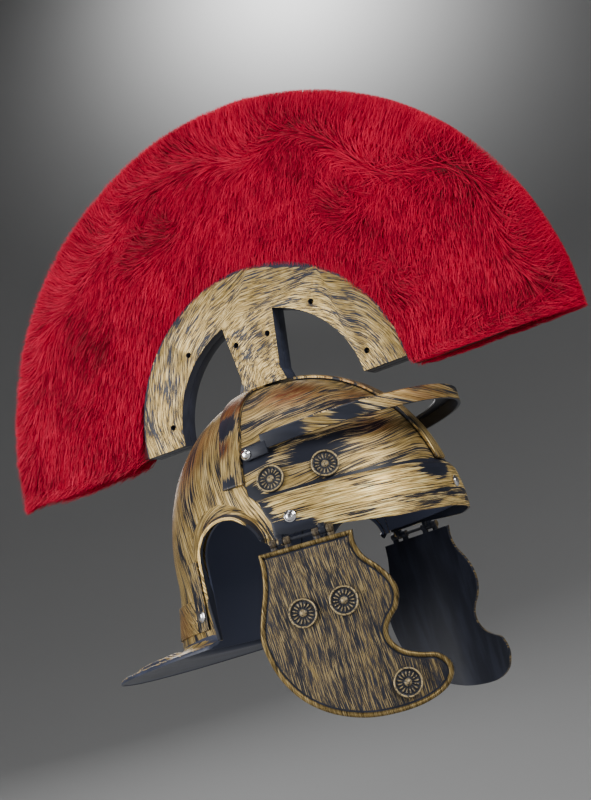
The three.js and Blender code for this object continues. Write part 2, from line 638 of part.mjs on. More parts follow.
// A rosette: a rim, a sunk face with raised petals and a boss. Z points out of its face.
function rosette() {
  const ring = (share, lift) => Array.from({ length: PETALS }, (_, i) => {
    const angle = (2 * Math.PI * i) / PETALS;
    const radius = share * ROSETTE_RADIUS;
    return new THREE.Vector3(radius * Math.cos(angle), radius * Math.sin(angle), lift * ROSETTE_HEIGHT);
  });
  const rings = [ring(1, 0), ring(1, 0.8), ring(0.93, 1), ring(0.86, 1), ring(0.8, 0.4), ring(0.3, 0.4)];
  const petals = ring(0.56, 0.8).map((p) => p.applyAxisAngle(new THREE.Vector3(0, 0, 1), Math.PI / PETALS));
  const points = [...rings.flat(), ...petals, new THREE.Vector3(0, 0, 0), new THREE.Vector3(0, 0, ROSETTE_HEIGHT)];
  const faces = [];
  const foot = points.length - 2;
  const boss = points.length - 1;
  for (let i = 0; i < PETALS; i += 1) {
    const j = (i + 1) % PETALS;
    const at = (r, k) => r * PETALS + k;
    for (let r = 0; r + 2 < rings.length; r += 1) {
      faces.push([at(r, i), at(r, j), at(r + 1, j)], [at(r, i), at(r + 1, j), at(r + 1, i)]);
    }
    const [outer, inner, peak] = [rings.length - 2, rings.length - 1, at(rings.length, i)];
    faces.push([at(outer, i), at(outer, j), peak], [at(outer, j), at(inner, j), peak]);
    faces.push([at(inner, j), at(inner, i), peak], [at(inner, i), at(outer, i), peak]);
    faces.push([at(inner, i), at(inner, j), boss], [foot, at(0, j), at(0, i)]);
  }
  return meshOf(points, faces);
}

// A rivet: a low dome with an optional shank below it. Z points out of its head.
function rivet(radius, height, shank = 0) {
  const profile = [[0, -shank], [shank ? SHANK_RADIUS : radius, -shank]];
  if (shank) profile.push([SHANK_RADIUS, 0]);
  profile.push([radius, 0], [radius * 0.75, height * 0.75], [0, height]);
  const points = profile.map(([r, z]) => new THREE.Vector2(r, z));
  const unique = points.filter((p, i) => i === 0 || p.distanceTo(points[i - 1]) > 1e-6);
  return new THREE.LatheGeometry(unique, 10).rotateX(Math.PI / 2);
}

function closedLathe(geometry) {
  return geometryOf(solidOf(geometry));
}

// A piece set on a place with its Z along a direction
function setOn(mesh, position, direction) {
  mesh.position.copy(position);
  mesh.quaternion.setFromUnitVectors(new THREE.Vector3(0, 0, 1), direction.clone().normalize());
  return mesh;
}

function skullPlace(side, y, z, grow) {
  const at = new THREE.Vector3(side * skullSide(y, z, grow), y, z);
  const step = 1;
  const dy = (skullSide(y + step, z, grow) - skullSide(y - step, z, grow)) / (2 * step);
  const dz = (skullSide(y, z + step, grow) - skullSide(y, z - step, grow)) / (2 * step);
  return { at, normal: new THREE.Vector3(side, -dy, -dz).normalize() };
}

function cheekPlace(s, t) {
  const normal = new THREE.Vector3(2 * CHEEK_WRAP * Math.max(s - CHEEK_WRAP_START, 0), -CHEEK_LEAN, 1).normalize();
  const at = new THREE.Vector3(s, -t, -cheekBend(s, t)).addScaledVector(normal, GAP);
  const world = at.applyMatrix4(hingeFrame);
  const direction = normal.transformDirection(hingeFrame);
  return { at: world, normal: direction };
}

// The peak's tabs clear the skull where they turn.
const peakHalfWidth = skullSide(-PEAK_PIVOT_Y, EQUATOR + PEAK_PIVOT_Z) + PEAK_CLEARANCE + PEAK_WALL;

// The peak: a lip on edge with a flat part inside its top, bent round the front in a U
function peakShape() {
  const rings = [];
  const steps = 22;
  for (let i = 0; i <= steps; i += 1) {
    const angle = Math.PI * (1 + i / steps);
    const nose = Math.max(-Math.sin(angle), 0);
    const out = new THREE.Vector3(PEAK_REACH * Math.cos(angle), peakHalfWidth * Math.sin(angle), 0).normalize();
    const edge = new THREE.Vector3(peakHalfWidth * Math.cos(angle), PEAK_REACH * Math.sin(angle), 0);
    const at = (inset, z) => edge.clone().addScaledVector(out, -inset).setZ(z);
    const plate = PEAK_WALL + 0.2 + (PEAK_PLATE - PEAK_WALL) * nose ** 2;
    const foot = -PEAK_LIP * 0.1;
    const top = foot + PEAK_LIP;
    rings.push([
      at(PEAK_WALL, foot), at(PEAK_WALL, top - PEAK_WALL), at(plate, top - PEAK_WALL), at(plate, top),
      at(0.8, top), at(0, top - 1), at(0, foot),
    ]);
  }
  return solidOf(ringsFlat(rings));
}

// A section with an inner corner, moved along a path and closed with ends cut into two quads.
function ringsFlat(rings) {
  const points = rings.flat();
  const count = rings[0].length;
  const faces = [];
  for (let r = 0; r + 1 < rings.length; r += 1) {
    for (let i = 0; i < count; i += 1) {
      const j = (i + 1) % count;
      const a = r * count;
      faces.push([a + i, a + j, a + count + j], [a + i, a + count + j, a + count + i]);
    }
  }
  const section = rings[0].map((p) => new THREE.Vector2(p.x, p.z));
  const cap = THREE.ShapeUtils.triangulateShape(section, []);
  const last = (rings.length - 1) * count;
  const clockwise = THREE.ShapeUtils.area(section) < 0;
  for (const [a, b, c] of cap) {
    faces.push(clockwise ? [a, b, c] : [c, b, a]);
    faces.push(clockwise ? [last + c, last + b, last + a] : [last + a, last + b, last + c]);
  }
  return meshOf(points, faces);
}

function peakTab(side) {
  const half = PEAK_TAB / 2;
  const shape = new THREE.Shape();
  shape.absarc(0, 0, half, Math.PI / 2, -Math.PI / 2, true);
  shape.lineTo(16, -half);
  shape.lineTo(16, half);
  const outline = shape.getPoints(6).reverse().map((p) => [-p.x, p.y]);
  const inner = peakHalfWidth - PEAK_WALL;
  const plate = side < 0 ? sidePrism(outline, -inner - 1.6, -inner) : sidePrism(outline, inner, inner + 1.6);
  const bore = new THREE.CylinderGeometry(SHANK_RADIUS + GAP + 0.1, SHANK_RADIUS + GAP + 0.1, 12, 16);
  bore.rotateZ(Math.PI / 2).translate(side * inner, 0, 0);
  return { plate, bore: solidOf(bore) };
}

function peak() {
  let body = peakShape();
  const clear = sidePrism([[12, -40], [12, 40], [-13, 40], [-13, -40]], -FAR, FAR);
  body = body.subtract(clear);
  for (const side of [-1, 1]) {
    const tab = peakTab(side);
    body = body.add(tab.plate).subtract(tab.bore);
  }
  return geometryOf(body);
}

// The crest holder's outline, seen from the side and drawn smaller by a wall
function archOutline(wall, steps) {
  const along = (radius, share) => {
    const start = Math.asin(wall / radius);
    const end = Math.PI - Math.asin((wall + ARCH_FRONT_CUT) / radius);
    const angle = start + (end - start) * share;
    return [radius * Math.cos(angle), radius * Math.sin(angle) - ARCH_CENTRE];
  };
  const shares = Array.from({ length: steps + 1 }, (_, i) => i / steps);
  const outer = shares.map((share) => along(ARCH_RADIUS - wall, share));
  const inner = shares.map((share) => along(ARCH_INNER + wall, 1 - share));
  return [...outer, ...inner];
}

function postOutline(wall) {
  const foot = WALL + BAND_RISE + GAP - 6;
  const neck = foot + 6 + FOOT_HEIGHT;
  const top = ARCH_INNER - ARCH_CENTRE + POST_JOIN;
  return [
    [POST_REAR_TOP - wall, top], [-POST_FRONT_TOP + wall, top], [-POST_FRONT_FOOT + wall, neck],
    [-POST_FRONT_FOOT - FOOT_FLARE * 0.6 + wall, foot + wall], [POST_REAR_FOOT + FOOT_FLARE - wall, foot + wall],
    [POST_REAR_FOOT - wall, neck],
  ].reverse();
}

// Screw holes: along the arch's inner edge, in degrees from its rear end, and near the top of the post
const ARCH_SCREWS = [10.9, 48.8, 127, 166.5];
const SCREW_INSET = 8.1;
const POST_SCREW_SHARE = 0.63;

function screwPlaces() {
  const places = ARCH_SCREWS.map((degrees) => {
    const angle = THREE.MathUtils.degToRad(degrees);
    const radius = ARCH_INNER + SCREW_INSET;
    return [radius * Math.cos(angle), radius * Math.sin(angle) - ARCH_CENTRE];
  });
  const level = (ARCH_INNER - ARCH_CENTRE) * 0.675;
  return [...places, [POST_REAR_TOP * POST_SCREW_SHARE, level], [-POST_FRONT_TOP * POST_SCREW_SHARE * 0.85, level]];
}

// One half of the holder: a face plate with a wall round its edge, open towards the other half
function crestHolder() {
  const form = (wall, low, high) => sidePrism(archOutline(wall, 13), low, high)
    .add(sidePrism(postOutline(wall), low, high));
  const seat = skullSolid(GAP * 2 + BAND_RISE, LOW);
  const seatInside = skullSolid(GAP * 2 + BAND_RISE + HOLDER_WALL, LOW);
  const body = form(0, -HOLDER_DEPTH, -GAP / 2).subtract(seat);
  const hollow = form(HOLDER_WALL, -HOLDER_DEPTH + HOLDER_WALL, 2).subtract(seatInside);
  let half = body.subtract(hollow);
  for (const [y, z] of screwPlaces()) {
    const hole = new THREE.CylinderGeometry(SCREW_RADIUS, SCREW_RADIUS, HOLDER_DEPTH, 8).rotateZ(Math.PI / 2);
    half = half.subtract(solidOf(hole.translate(-HOLDER_DEPTH, y, z)));
  }
  return geometryOf(half);
}

// The plume: a fan of locks round the arch, each a ridge that runs outwards and ends in a ragged point
function plume() {
  const columns = LOCKS * 2;
  const reaches = [0, 0.3, 0.62, 0.88, 1.0];
  const halves = [0.86, 1.0, 0.96, 0.7, 0.16];
  const start = ARCH_RADIUS + GAP;
  const side = (sign) => Array.from({ length: columns + 1 }, (_, c) => reaches.map((share, r) => {
    const angle = (Math.PI * c) / columns;
    const ridge = c % 2 === 0 ? 1 : 0;
    const ragged = LOCK_RAGGED * (ridge ? Math.sin(c * 2.3) * 0.5 : -0.6) * share ** 3;
    const radius = start + PLUME_REACH * share + ragged;
    const half = PLUME_HALF * halves[r] - (ridge ? 0 : LOCK_DEPTH) * Math.min(r, 1) * halves[r];
    return new THREE.Vector3(sign * half, -radius * Math.cos(angle), radius * Math.sin(angle) - ARCH_CENTRE);
  }));
  return sheetToMesh(side(-1), side(1));
}

// Assembly: the shell
const plain = (solid) => geometryOf(solid);
place('bowl_front', plain(bowlFront()), goldBrushed());
place('bowl_rear', plain(bowlRear()), goldBrushed());
place('brow_band', plain(browBand()), goldBrushed());
place('crown_ridge', plain(crownRidge()), goldBrushed());
place('cross_band', plain(crossBand()), goldBrushed());

const strip = plain(neckStrip());
place('neck_strip_right', strip, goldBrushed());
place('neck_strip_left', mirrored(strip), goldBrushed());

const SIDES = [['right', -1], ['left', 1]];

// Rosettes on the bowl, as shares of its front reach, and on a cheek guard, as shares of its top edge and
// height. Those on the bowl stand clear of the brow band.
const BOWL_ROSETTES = [['rear', 0.215], ['front', 0.525]];
const rosetteLevel = EQUATOR + BROW_TOP + ROSETTE_RADIUS + ROSETTE_CLEARANCE;
const CHEEK_ROSETTES = [['upper_rear', 0.3, 0.365], ['upper_front', 0.737, 0.357], ['lower', 1.12, 0.86]];

for (const [word, side] of SIDES) {
  for (const [where, forward] of BOWL_ROSETTES) {
    const seat = skullPlace(side, -forward * FRONT_REACH, rosetteLevel, GAP);
    setOn(place(`bowl_rosette_${word}_${where}`, rosette(), darkPlastic()), seat.at, seat.normal);
  }
  const brow = browPlace(side < 0 ? Math.PI + BROW_RIVET_TURN : -BROW_RIVET_TURN, GAP);
  setOn(place(`brow_rivet_${word}`, closedLathe(rivet(RIVET_RADIUS, RIVET_HEIGHT)), chrome()), brow.at, brow.normal);
  const stripMiddle = EAR_REAR + STRIP_OFFSET + (STRIP_WIDTH + STRIP_SLANT) / 2;
  const neck = skullPlace(side, stripMiddle, EQUATOR - NECK_RIVET_DROP, GAP * 2 + STRIP_RISE);
  setOn(place(`neck_rivet_${word}`, closedLathe(rivet(RIVET_RADIUS, RIVET_HEIGHT)), chrome()), neck.at, neck.normal);
}
const nose = browPlace(-Math.PI / 2, GAP);
setOn(place('brow_rivet_front', closedLathe(rivet(RIVET_RADIUS, RIVET_HEIGHT)), chrome()), nose.at, nose.normal);

// Assembly: the peak and its pivots
const pivot = new THREE.Vector3(0, -PEAK_PIVOT_Y, EQUATOR + PEAK_PIVOT_Z);
const peakGroup = new THREE.Group();
peakGroup.position.copy(pivot);
peakGroup.rotation.x = THREE.MathUtils.degToRad(-PEAK_TILT);
helmet.add(peakGroup);
place('peak', peak(), goldBrushed(), peakGroup);
for (const [word, side] of SIDES) {
  const head = peakHalfWidth - PEAK_WALL + 1.6 + GAP;
  const shank = head - skullSide(-PEAK_PIVOT_Y, pivot.z) - GAP;
  const mesh = place(`peak_rivet_${word}`, closedLathe(rivet(RIVET_RADIUS * 0.9, RIVET_HEIGHT * 1.3, shank)), chrome());
  setOn(mesh, new THREE.Vector3(side * head, pivot.y, pivot.z), new THREE.Vector3(side, 0, 0));
}

// Assembly: the cheek guards, their rosettes and hinge pins
const cheek = cheekGuard();
const pin = hingePin();
for (const [word, side] of SIDES) {
  place(`cheek_guard_${word}`, side < 0 ? cheek : mirrored(cheek), goldBrushed());
  place(`hinge_pin_${word}`, side < 0 ? pin : mirrored(pin), darkPlastic());
  for (const [where, along, down] of CHEEK_ROSETTES) {
    const seat = cheekPlace(along * CHEEK_LENGTH, down * CHEEK_HEIGHT);
    const flip = new THREE.Vector3(-side, 1, 1);
    const mesh = place(`cheek_rosette_${word}_${where}`, rosette(), darkPlastic());
    setOn(mesh, seat.at.multiply(flip), seat.normal.multiply(flip));
  }
}

// Assembly: the crest
const holder = crestHolder();
place('crest_holder_right', holder, goldBrushed());
place('crest_holder_left', mirrored(holder), goldBrushed());
place('crest_plume', plume(), crimsonFur());

export default helmet;
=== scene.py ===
"""A Roman legionary helmet in brushed gold on blue-black plastic, with a crimson fur crest.

Lengths are in millimetres until a mesh is made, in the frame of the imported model: +X is the
wearer's left, -Y the wearer's front and +Z up, with the origin inside the crown.
"""
import math

import bpy
import numpy as np
from mathutils import Matrix, Vector


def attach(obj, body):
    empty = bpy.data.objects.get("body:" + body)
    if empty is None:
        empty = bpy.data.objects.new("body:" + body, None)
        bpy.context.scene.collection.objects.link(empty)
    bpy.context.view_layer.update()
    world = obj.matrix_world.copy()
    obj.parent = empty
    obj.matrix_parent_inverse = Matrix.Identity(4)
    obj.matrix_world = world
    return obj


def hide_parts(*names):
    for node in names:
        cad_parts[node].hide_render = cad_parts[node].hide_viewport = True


bl_info = {
    "name": "Legionary Helmet",
    "version": (1, 0, 0),
    "blender": (4, 5, 0),
    "location": "View3D > Sidebar > Helmet",
    "description": "Builds a brushed-gold helmet with a fur crest round its packed frame",
    "category": "Add Mesh",
}

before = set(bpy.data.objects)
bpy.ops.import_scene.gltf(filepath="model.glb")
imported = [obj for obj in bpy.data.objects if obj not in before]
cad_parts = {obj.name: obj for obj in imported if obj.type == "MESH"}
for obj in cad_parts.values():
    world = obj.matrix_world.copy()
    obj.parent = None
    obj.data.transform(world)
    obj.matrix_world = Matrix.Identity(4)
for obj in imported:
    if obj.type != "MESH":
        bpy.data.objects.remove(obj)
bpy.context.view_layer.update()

MM = 0.001
PI = math.pi

# The skull: a superellipsoid above its equator and a flared neck below it
WALL = 2.4
HALF_WIDTH = 95.0
FRONT_REACH = 111.8
REAR_REACH = 99.0
SKULL_HEIGHT = 122.4
SKULL_ROUND = 2.11
FRONT_ROUND = 2.0
REAR_ROUND = 2.1
NECK_DEPTH = 46.0
NECK_FLARE = 11.0
EQUATOR = WALL - SKULL_HEIGHT
NECK_FOOT = EQUATOR - NECK_DEPTH
GAP = 0.35
# The skull's block runs down to here before it is cut
BLOCK_FOOT = NECK_FOOT - 60

# The seam between its halves: shares of the front reach and of the skull's height
SEAM_TOP = 1.5
SEAM = ((0, 1.16), (0, 0.87), (0.034, 0.706), (0.05, 0.555), (0.06, 0.39), (0.07, 0.318),
        (0.139, 0.253), (0.165, 0.18), (0.19, 0.14))
FRONT_FOOT = 8.0

# The brow band
BROW_TOP = 34.0
BROW_FOOT = 6.4
BROW_FALL = 5.4
BROW_SIDE = 2.6
BROW_FRONT = 3.4
BROW_WALL = 2.0
BROW_SWELL = 0.6
BROW_LEDGE = 5.0

# Bands, ear openings and neck guard
RIDGE_WIDTH = 14.5
RIDGE_RISE = 2.8
BAND_RISE = 2.0
BAND_WIDTH = 17.5
EAR_FRONT = 12.5
EAR_REAR = 38.0
EAR_TOP = 29.0
EAR_RISE = 11.0
EAR_WALL = 2.0
EAR_SWELL = 13.0
STRIP_WIDTH = 11.0
STRIP_RISE = 1.5
STRIP_OFFSET = 7.7
STRIP_TOP = 9.0
STRIP_FOOT = 9.0
STRIP_SLANT = 2.5
NECK_BAND_HEIGHT = 22.0
NECK_BAND_RISE = 1.7
GUARD_REACH = 171.0
GUARD_HALF_WIDTH = 93.0
GUARD_CENTRE = 44.0
GUARD_WALL = 2.4
GUARD_DROP = 6.0
GUARD_LIP = 4.0
RIB_RISE = 2.2
RIBS = (0.3, 0.52, 0.74)

# Cheek guards and their hinges
HINGE_TOE = math.radians(14)
HINGE_Y = 9.5
HINGE_Z = 4.4
CHEEK_TOP = 1.6
CHEEK_LENGTH = 63.0
CHEEK_HEIGHT = 117.5
CHEEK_WALL = 2.0
CHEEK_WRAP = 0.0060
CHEEK_WRAP_START = 40.0
CHEEK_LEAN = 0.04
KNUCKLE_RADIUS = 2.7
KNUCKLE_LENGTH = 4.4
KNUCKLES = (0.25, 0.71)
HINGE_X = HALF_WIDTH + BROW_SIDE + 1.7 + KNUCKLE_RADIUS + CHEEK_WALL / 2
# The plate's outline from its front top corner: shares of its length and of its height
CHEEK_OUTLINE = (
    (1.0, 0), (0.99, 0.07), (1.04, 0.15), (1.15, 0.22), (1.24, 0.30), (1.27, 0.38), (1.22, 0.46),
    (1.12, 0.52), (1.07, 0.575), (1.09, 0.635), (1.18, 0.69), (1.32, 0.725), (1.47, 0.75), (1.56, 0.81),
    (1.56, 0.875), (1.45, 0.945), (1.22, 0.99), (0.93, 1.0), (0.62, 0.98), (0.31, 0.915), (0.06, 0.81),
    (-0.11, 0.67), (-0.19, 0.52), (-0.19, 0.42), (-0.12, 0.30), (-0.05, 0.20), (-0.01, 0.10), (0, 0))
CHEEK_MIDDLE = (0.56, 0.62)

# Rosettes and rivets
ROSETTE_RADIUS = 9.5
ROSETTE_HEIGHT = 2.4
PETALS = 16
BOWL_ROSETTES = (("rear", 0.215), ("front", 0.525))
CHEEK_ROSETTES = (("upper_rear", 0.3, 0.365), ("upper_front", 0.737, 0.357), ("lower", 1.12, 0.86))
ROSETTE_LEVEL = EQUATOR + BROW_TOP + ROSETTE_RADIUS + 1.9
RIVET_RADIUS = 4.0
RIVET_HEIGHT = 1.8
BROW_RIVET_TURN = 0.30
NECK_RIVET_DROP = 27.0

# The peak
PEAK_PIVOT_Y = 10.0
PEAK_PIVOT_Z = 66.5
PEAK_CLEARANCE = 2.9
PEAK_REACH = 121.0
PEAK_TILT = math.radians(3)
PEAK_LIP = 10.5
PEAK_WALL = 2.0
PEAK_PLATE = 17.0
PEAK_TAB = 8.6
PEAK_TAB_LENGTH = 16.0
PEAK_TAB_WALL = 1.6

# The crest
ARCH_RADIUS = 110.0
ARCH_INNER = 76.5
ARCH_CENTRE = 17.5
ARCH_FRONT_CUT = 6.5
HOLDER_DEPTH = 9.1
POST_TOP = ARCH_INNER - ARCH_CENTRE + 7
POST_REAR = (24.5, 18.0)
POST_FRONT = (21.5, 14.5)
FOOT_HEIGHT = 9.0
FOOT_FLARE = 7.0
ARCH_SCREWS = (10.9, 48.8, 127, 166.5)
SCREW_INSET = 8.1
SCREW_RADIUS = 2.1
PLUME_HALF = 13.0

# The photograph's camera
CAMERA_PLACE = (-925.58, -447.83, -213.4)
CAMERA_RIGHT = (0.45439, -0.85408, -0.25312)
CAMERA_UP = (-0.06039, -0.31303, 0.94782)
CAMERA_AHEAD = (0.88875, 0.41539, 0.19381)
CAMERA_LENS = 65.28
FLOOR_LEVEL = -420.0


class HelmetSizes(bpy.types.PropertyGroup):
    """Sizes that a user would change"""
    skull_columns: bpy.props.IntProperty(
        name="Skull columns", description="Faces round the skull", default=192, min=48, max=512)
    edge_round: bpy.props.FloatProperty(
        name="Edge rounding", description="Rounding of moulded edges", default=0.0005, min=0.0, max=0.002,
        unit="LENGTH")
    fur_length: bpy.props.FloatProperty(
        name="Fur length", description="Length of a lock of fur", default=0.020, min=0.005, max=0.06,
        unit="LENGTH")
    fur_width: bpy.props.FloatProperty(
        name="Fur width", description="Width of a lock of fur at its root", default=0.0005, min=0.0002,
        max=0.004, unit="LENGTH")
    fur_locks: bpy.props.IntProperty(
        name="Fur locks", description="Locks of fur in each part of the crest", default=33000, min=1000,
        max=60000)
    seed: bpy.props.IntProperty(
        name="Seed", description="Start of the fur's random places", default=7, min=0)


class HelmetColours(bpy.types.PropertyGroup):
    """Colours that a user would change"""
    gold: bpy.props.FloatVectorProperty(
        name="Gold", description="Brushed gold paint", subtype="COLOR", size=3, default=(0.48, 0.325, 0.11))
    gold_pale: bpy.props.FloatVectorProperty(
        name="Pale gold", description="Where the brush laid the paint thick", subtype="COLOR", size=3,
        default=(0.82, 0.62, 0.30))
    plastic: bpy.props.FloatVectorProperty(
        name="Plastic", description="Blue-black plastic under the paint", subtype="COLOR", size=3,
        default=(0.014, 0.016, 0.025))
    stain: bpy.props.FloatVectorProperty(
        name="Stain", description="Red-brown wash on the bowl", subtype="COLOR", size=3,
        default=(0.17, 0.03, 0.010))
    fur: bpy.props.FloatVectorProperty(
        name="Fur", description="Fur tips", subtype="COLOR", size=3, default=(0.80, 0.0, 0.052))
    # The roots' dark colour is painted shade deep in the fur
    fur_root_shade: bpy.props.FloatVectorProperty(
        name="Fur roots", description="Fur roots", subtype="COLOR", size=3, default=(0.12, 0.0, 0.006))


# Working tools
def deselect():
    if bpy.context.object and bpy.context.object.mode != "OBJECT":
        bpy.ops.object.mode_set(mode="OBJECT")
    bpy.ops.object.select_all(action="DESELECT")


def pick(piece):
    deselect()
    piece.select_set(True)
    bpy.context.view_layer.objects.active = piece
    return piece


def in_edit_mode(piece, *steps):
    """Runs mesh operators, each given with its settings, on all of a piece."""
    pick(piece)
    bpy.ops.object.mode_set(mode="EDIT")
    bpy.ops.mesh.select_all(action="SELECT")
    for operator, settings in steps:
        operator(**settings)
    bpy.ops.object.mode_set(mode="OBJECT")
    return piece


def modified(piece, kind, **settings):
    """Adds a modifier and applies it."""
    pick(piece)
    modifier = piece.modifiers.new(kind.title(), kind)
    for key, value in settings.items():
        setattr(modifier, key, value)
    bpy.ops.object.modifier_apply(modifier=modifier.name)
    return piece


def points_of(piece):
    flat = np.empty(len(piece.data.vertices) * 3)
    piece.data.vertices.foreach_get("co", flat)
    return flat.reshape(-1, 3) / MM


def set_points(piece, points):
    piece.data.vertices.foreach_set("co", (np.asarray(points) * MM).ravel())
    piece.data.update()
    return piece


def merged(piece, distance=0.00002):
    return in_edit_mode(piece, (bpy.ops.mesh.remove_doubles, {"threshold": distance}))


def outwards(piece):
    return in_edit_mode(piece, (bpy.ops.mesh.normals_make_consistent, {"inside": False}))


def faces_of(piece):
    """Middles, in millimetres, and normals of a piece's faces."""
    count = len(piece.data.polygons)
    middles = np.empty(count * 3)
    normals = np.empty(count * 3)
    piece.data.polygons.foreach_get("center", middles)
    piece.data.polygons.foreach_get("normal", normals)
    return middles.reshape(-1, 3) / MM, normals.reshape(-1, 3)


def face_away(piece, ahead):
    """Turns an open sheet so that its faces look the way that ahead(middles) gives."""
    middles, normals = faces_of(piece)
    if np.sum(normals * ahead(middles)) < 0:
        in_edit_mode(piece, (bpy.ops.mesh.flip_normals, {}))
    return piece


def form(name, columns, rows, place, ahead=None):
    """A grid whose points place(u, v) sets, with u across it and v up it from 0 to 1."""
    deselect()
    bpy.ops.mesh.primitive_grid_add(x_subdivisions=columns, y_subdivisions=rows, size=2)
    piece = bpy.context.object
    piece.name = name
    flat = np.empty(len(piece.data.vertices) * 3)
    piece.data.vertices.foreach_get("co", flat)
    flat = flat.reshape(-1, 3)
    set_points(piece, place((flat[:, 0] + 1) / 2, (flat[:, 1] + 1) / 2))
    if ahead is not None:
        face_away(piece, ahead)
    return piece


def slab(name, outline, low, high):
    """An outline in (y, z) carried along X from low to high."""
    deselect()
    bpy.ops.mesh.primitive_circle_add(vertices=len(outline), radius=1, fill_type="NGON")
    piece = bpy.context.object
    piece.name = name
    outline = np.asarray(outline, float)
    set_points(piece, np.column_stack([np.full(len(outline), low), outline]))
    in_edit_mode(piece, (bpy.ops.mesh.extrude_region_move,
                         {"TRANSFORM_OT_translate": {"value": ((high - low) * MM, 0, 0)}}))
    return outwards(piece)


def carved(piece, cutter, how="DIFFERENCE"):
    """Cuts a piece with another, which is used up."""
    modified(piece, "BOOLEAN", object=cutter, operation=how, solver="MANIFOLD")
    bpy.data.objects.remove(cutter)
    return piece


def closed(piece):
    """Merges a form's doubles, fills the holes that are left and turns its faces outwards."""
    merged(piece)
    in_edit_mode(piece, (bpy.ops.mesh.select_all, {"action": "DESELECT"}),
                 (bpy.ops.mesh.select_non_manifold, {}), (bpy.ops.mesh.fill, {}))
    return outwards(piece)


def always(*way):
    """The same way out for every face."""
    return lambda middles: np.array(way) + 0 * middles


def copy_of(piece, name):
    copy = piece.copy()
    copy.data = piece.data.copy()
    copy.name = name
    bpy.context.scene.collection.objects.link(copy)
    return copy


def mirror_of(piece, name):
    """A copy on the wearer's other side, with its own mesh."""
    copy = copy_of(piece, name)
    points = points_of(copy)
    points[:, 0] *= -1
    set_points(copy, points)
    return in_edit_mode(copy, (bpy.ops.mesh.flip_normals, {}))


def joined(name, pieces):
    pick(pieces[0])
    for piece in pieces[1:]:
        piece.select_set(True)
    bpy.ops.object.join()
    pieces[0].name = name
    return pieces[0]


def smooth(piece, degrees=32):
    pick(piece)
    bpy.ops.object.shade_smooth_by_angle(angle=math.radians(degrees))
    return piece


def thick(piece, wall, **settings):
    return modified(piece, "SOLIDIFY", thickness=wall * MM, offset=-1, use_even_offset=True, **settings)


def bevelled(piece, share=1.0, segments=2, degrees=40):
    width = bpy.context.scene.helmet_sizes.edge_round * share
    return modified(piece, "BEVEL", width=width, segments=segments, limit_method="ANGLE",
                    angle_limit=math.radians(degrees), harden_normals=False)


def draw_map(piece, rule):
    """Lays the piece's map in millimetres: rule(points, middles) gives both of its coordinates."""
    mesh = piece.data
    layer = mesh.uv_layers.active or mesh.uv_layers.new(name="strokes")
    layer.name = "strokes"
    corners = np.empty(len(mesh.loops), int)
    mesh.loops.foreach_get("vertex_index", corners)
    middles, _ = faces_of(piece)
    sizes = np.empty(len(mesh.polygons), int)
    mesh.polygons.foreach_get("loop_total", sizes)
    across, along = rule(points_of(piece)[corners], np.repeat(middles, sizes, axis=0))
    layer.data.foreach_set("uv", np.column_stack([across, along]).ravel())
    return piece


def mark(piece, name, values, domain="FACE"):
    """Sets a value on each face or point, for the materials."""
    layer = piece.data.attributes.get(name) or piece.data.attributes.new(name, "FLOAT", domain)
    layer.data.foreach_set("value", np.asarray(values, float).ravel())
    return piece


def mark_painted(piece, ahead, limit=-0.2):
    """Paint lies on the faces that look the way that ahead(middles) gives."""
    middles, normals = faces_of(piece)
    return mark(piece, "painted", (np.sum(normals * ahead(middles), axis=1) > limit).astype(float))


def settle(piece, body, slot, material, *nodes):
    """Gives a finished piece its body and its material, and hides the nodes that it stands for; slot is not
    used.
    """
    piece.data.materials.clear()
    piece.data.materials.append(material)
    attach(piece, body)
    if nodes:
        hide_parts(*nodes)
    return piece


def steps_along(line):
    """How far along a line each of its points lies."""
    return np.concatenate([[0], np.cumsum(np.linalg.norm(np.diff(line, axis=0), axis=1))])


# The skull's form
def ring(level, grow=0.0):
    """The skull's half width and its reach to the front and to the rear at a level."""
    height = np.clip((level - EQUATOR) / (SKULL_HEIGHT + grow), 0, 1)
    shrink = (1 - height ** SKULL_ROUND) ** (1 / SKULL_ROUND)
    flare = NECK_FLARE * (np.clip(EQUATOR - level, 0, None) / NECK_DEPTH) ** 1.3
    return (HALF_WIDTH + grow) * shrink, (FRONT_REACH + grow) * shrink, (REAR_REACH + grow) * shrink + flare


def on_skull(angle, level, grow=0.0):
    """A place by its turn round the skull, with the wearer's left at 0 and the rear at a quarter turn."""
    half, front, rear = ring(level, grow)
    across, along = np.cos(angle), np.sin(angle)
    power = np.where(along < 0, 2 / FRONT_ROUND, 2 / REAR_ROUND)
    reach = np.where(along < 0, front, rear)
    return np.stack([half * np.sign(across) * np.abs(across) ** power,
                     reach * np.sign(along) * np.abs(along) ** power, level + 0 * angle], -1)


def skull_side(y, z, grow=0.0):
    """Half the skull's width at a place seen from the side."""
    half, front, rear = ring(z, grow)
    power = np.where(y < 0, FRONT_ROUND, REAR_ROUND)
    reach = np.maximum(np.where(y < 0, front, rear), 1e-6)
    return half * np.clip(1 - (np.abs(y) / reach) ** power, 0, None) ** (1 / power)


def skull_top(x, y, grow=0.0):
    """The skull's level at a place seen from above."""
    power = np.where(y < 0, FRONT_ROUND, REAR_ROUND)
    reach = np.where(y < 0, FRONT_REACH, REAR_REACH) + grow
    share = (np.abs(x / (HALF_WIDTH + grow)) ** power + np.abs(y / reach) ** power) ** (1 / power)
    return EQUATOR + (SKULL_HEIGHT + grow) * np.clip(1 - share ** SKULL_ROUND, 0, None) ** (1 / SKULL_ROUND)


def from_skull(points):
    """The way out of the skull."""
    way = points - np.array([0, 0, EQUATOR])
    way[:, 2] = np.clip(way[:, 2], 0, None)
    return way / np.linalg.norm(way, axis=1, keepdims=True)


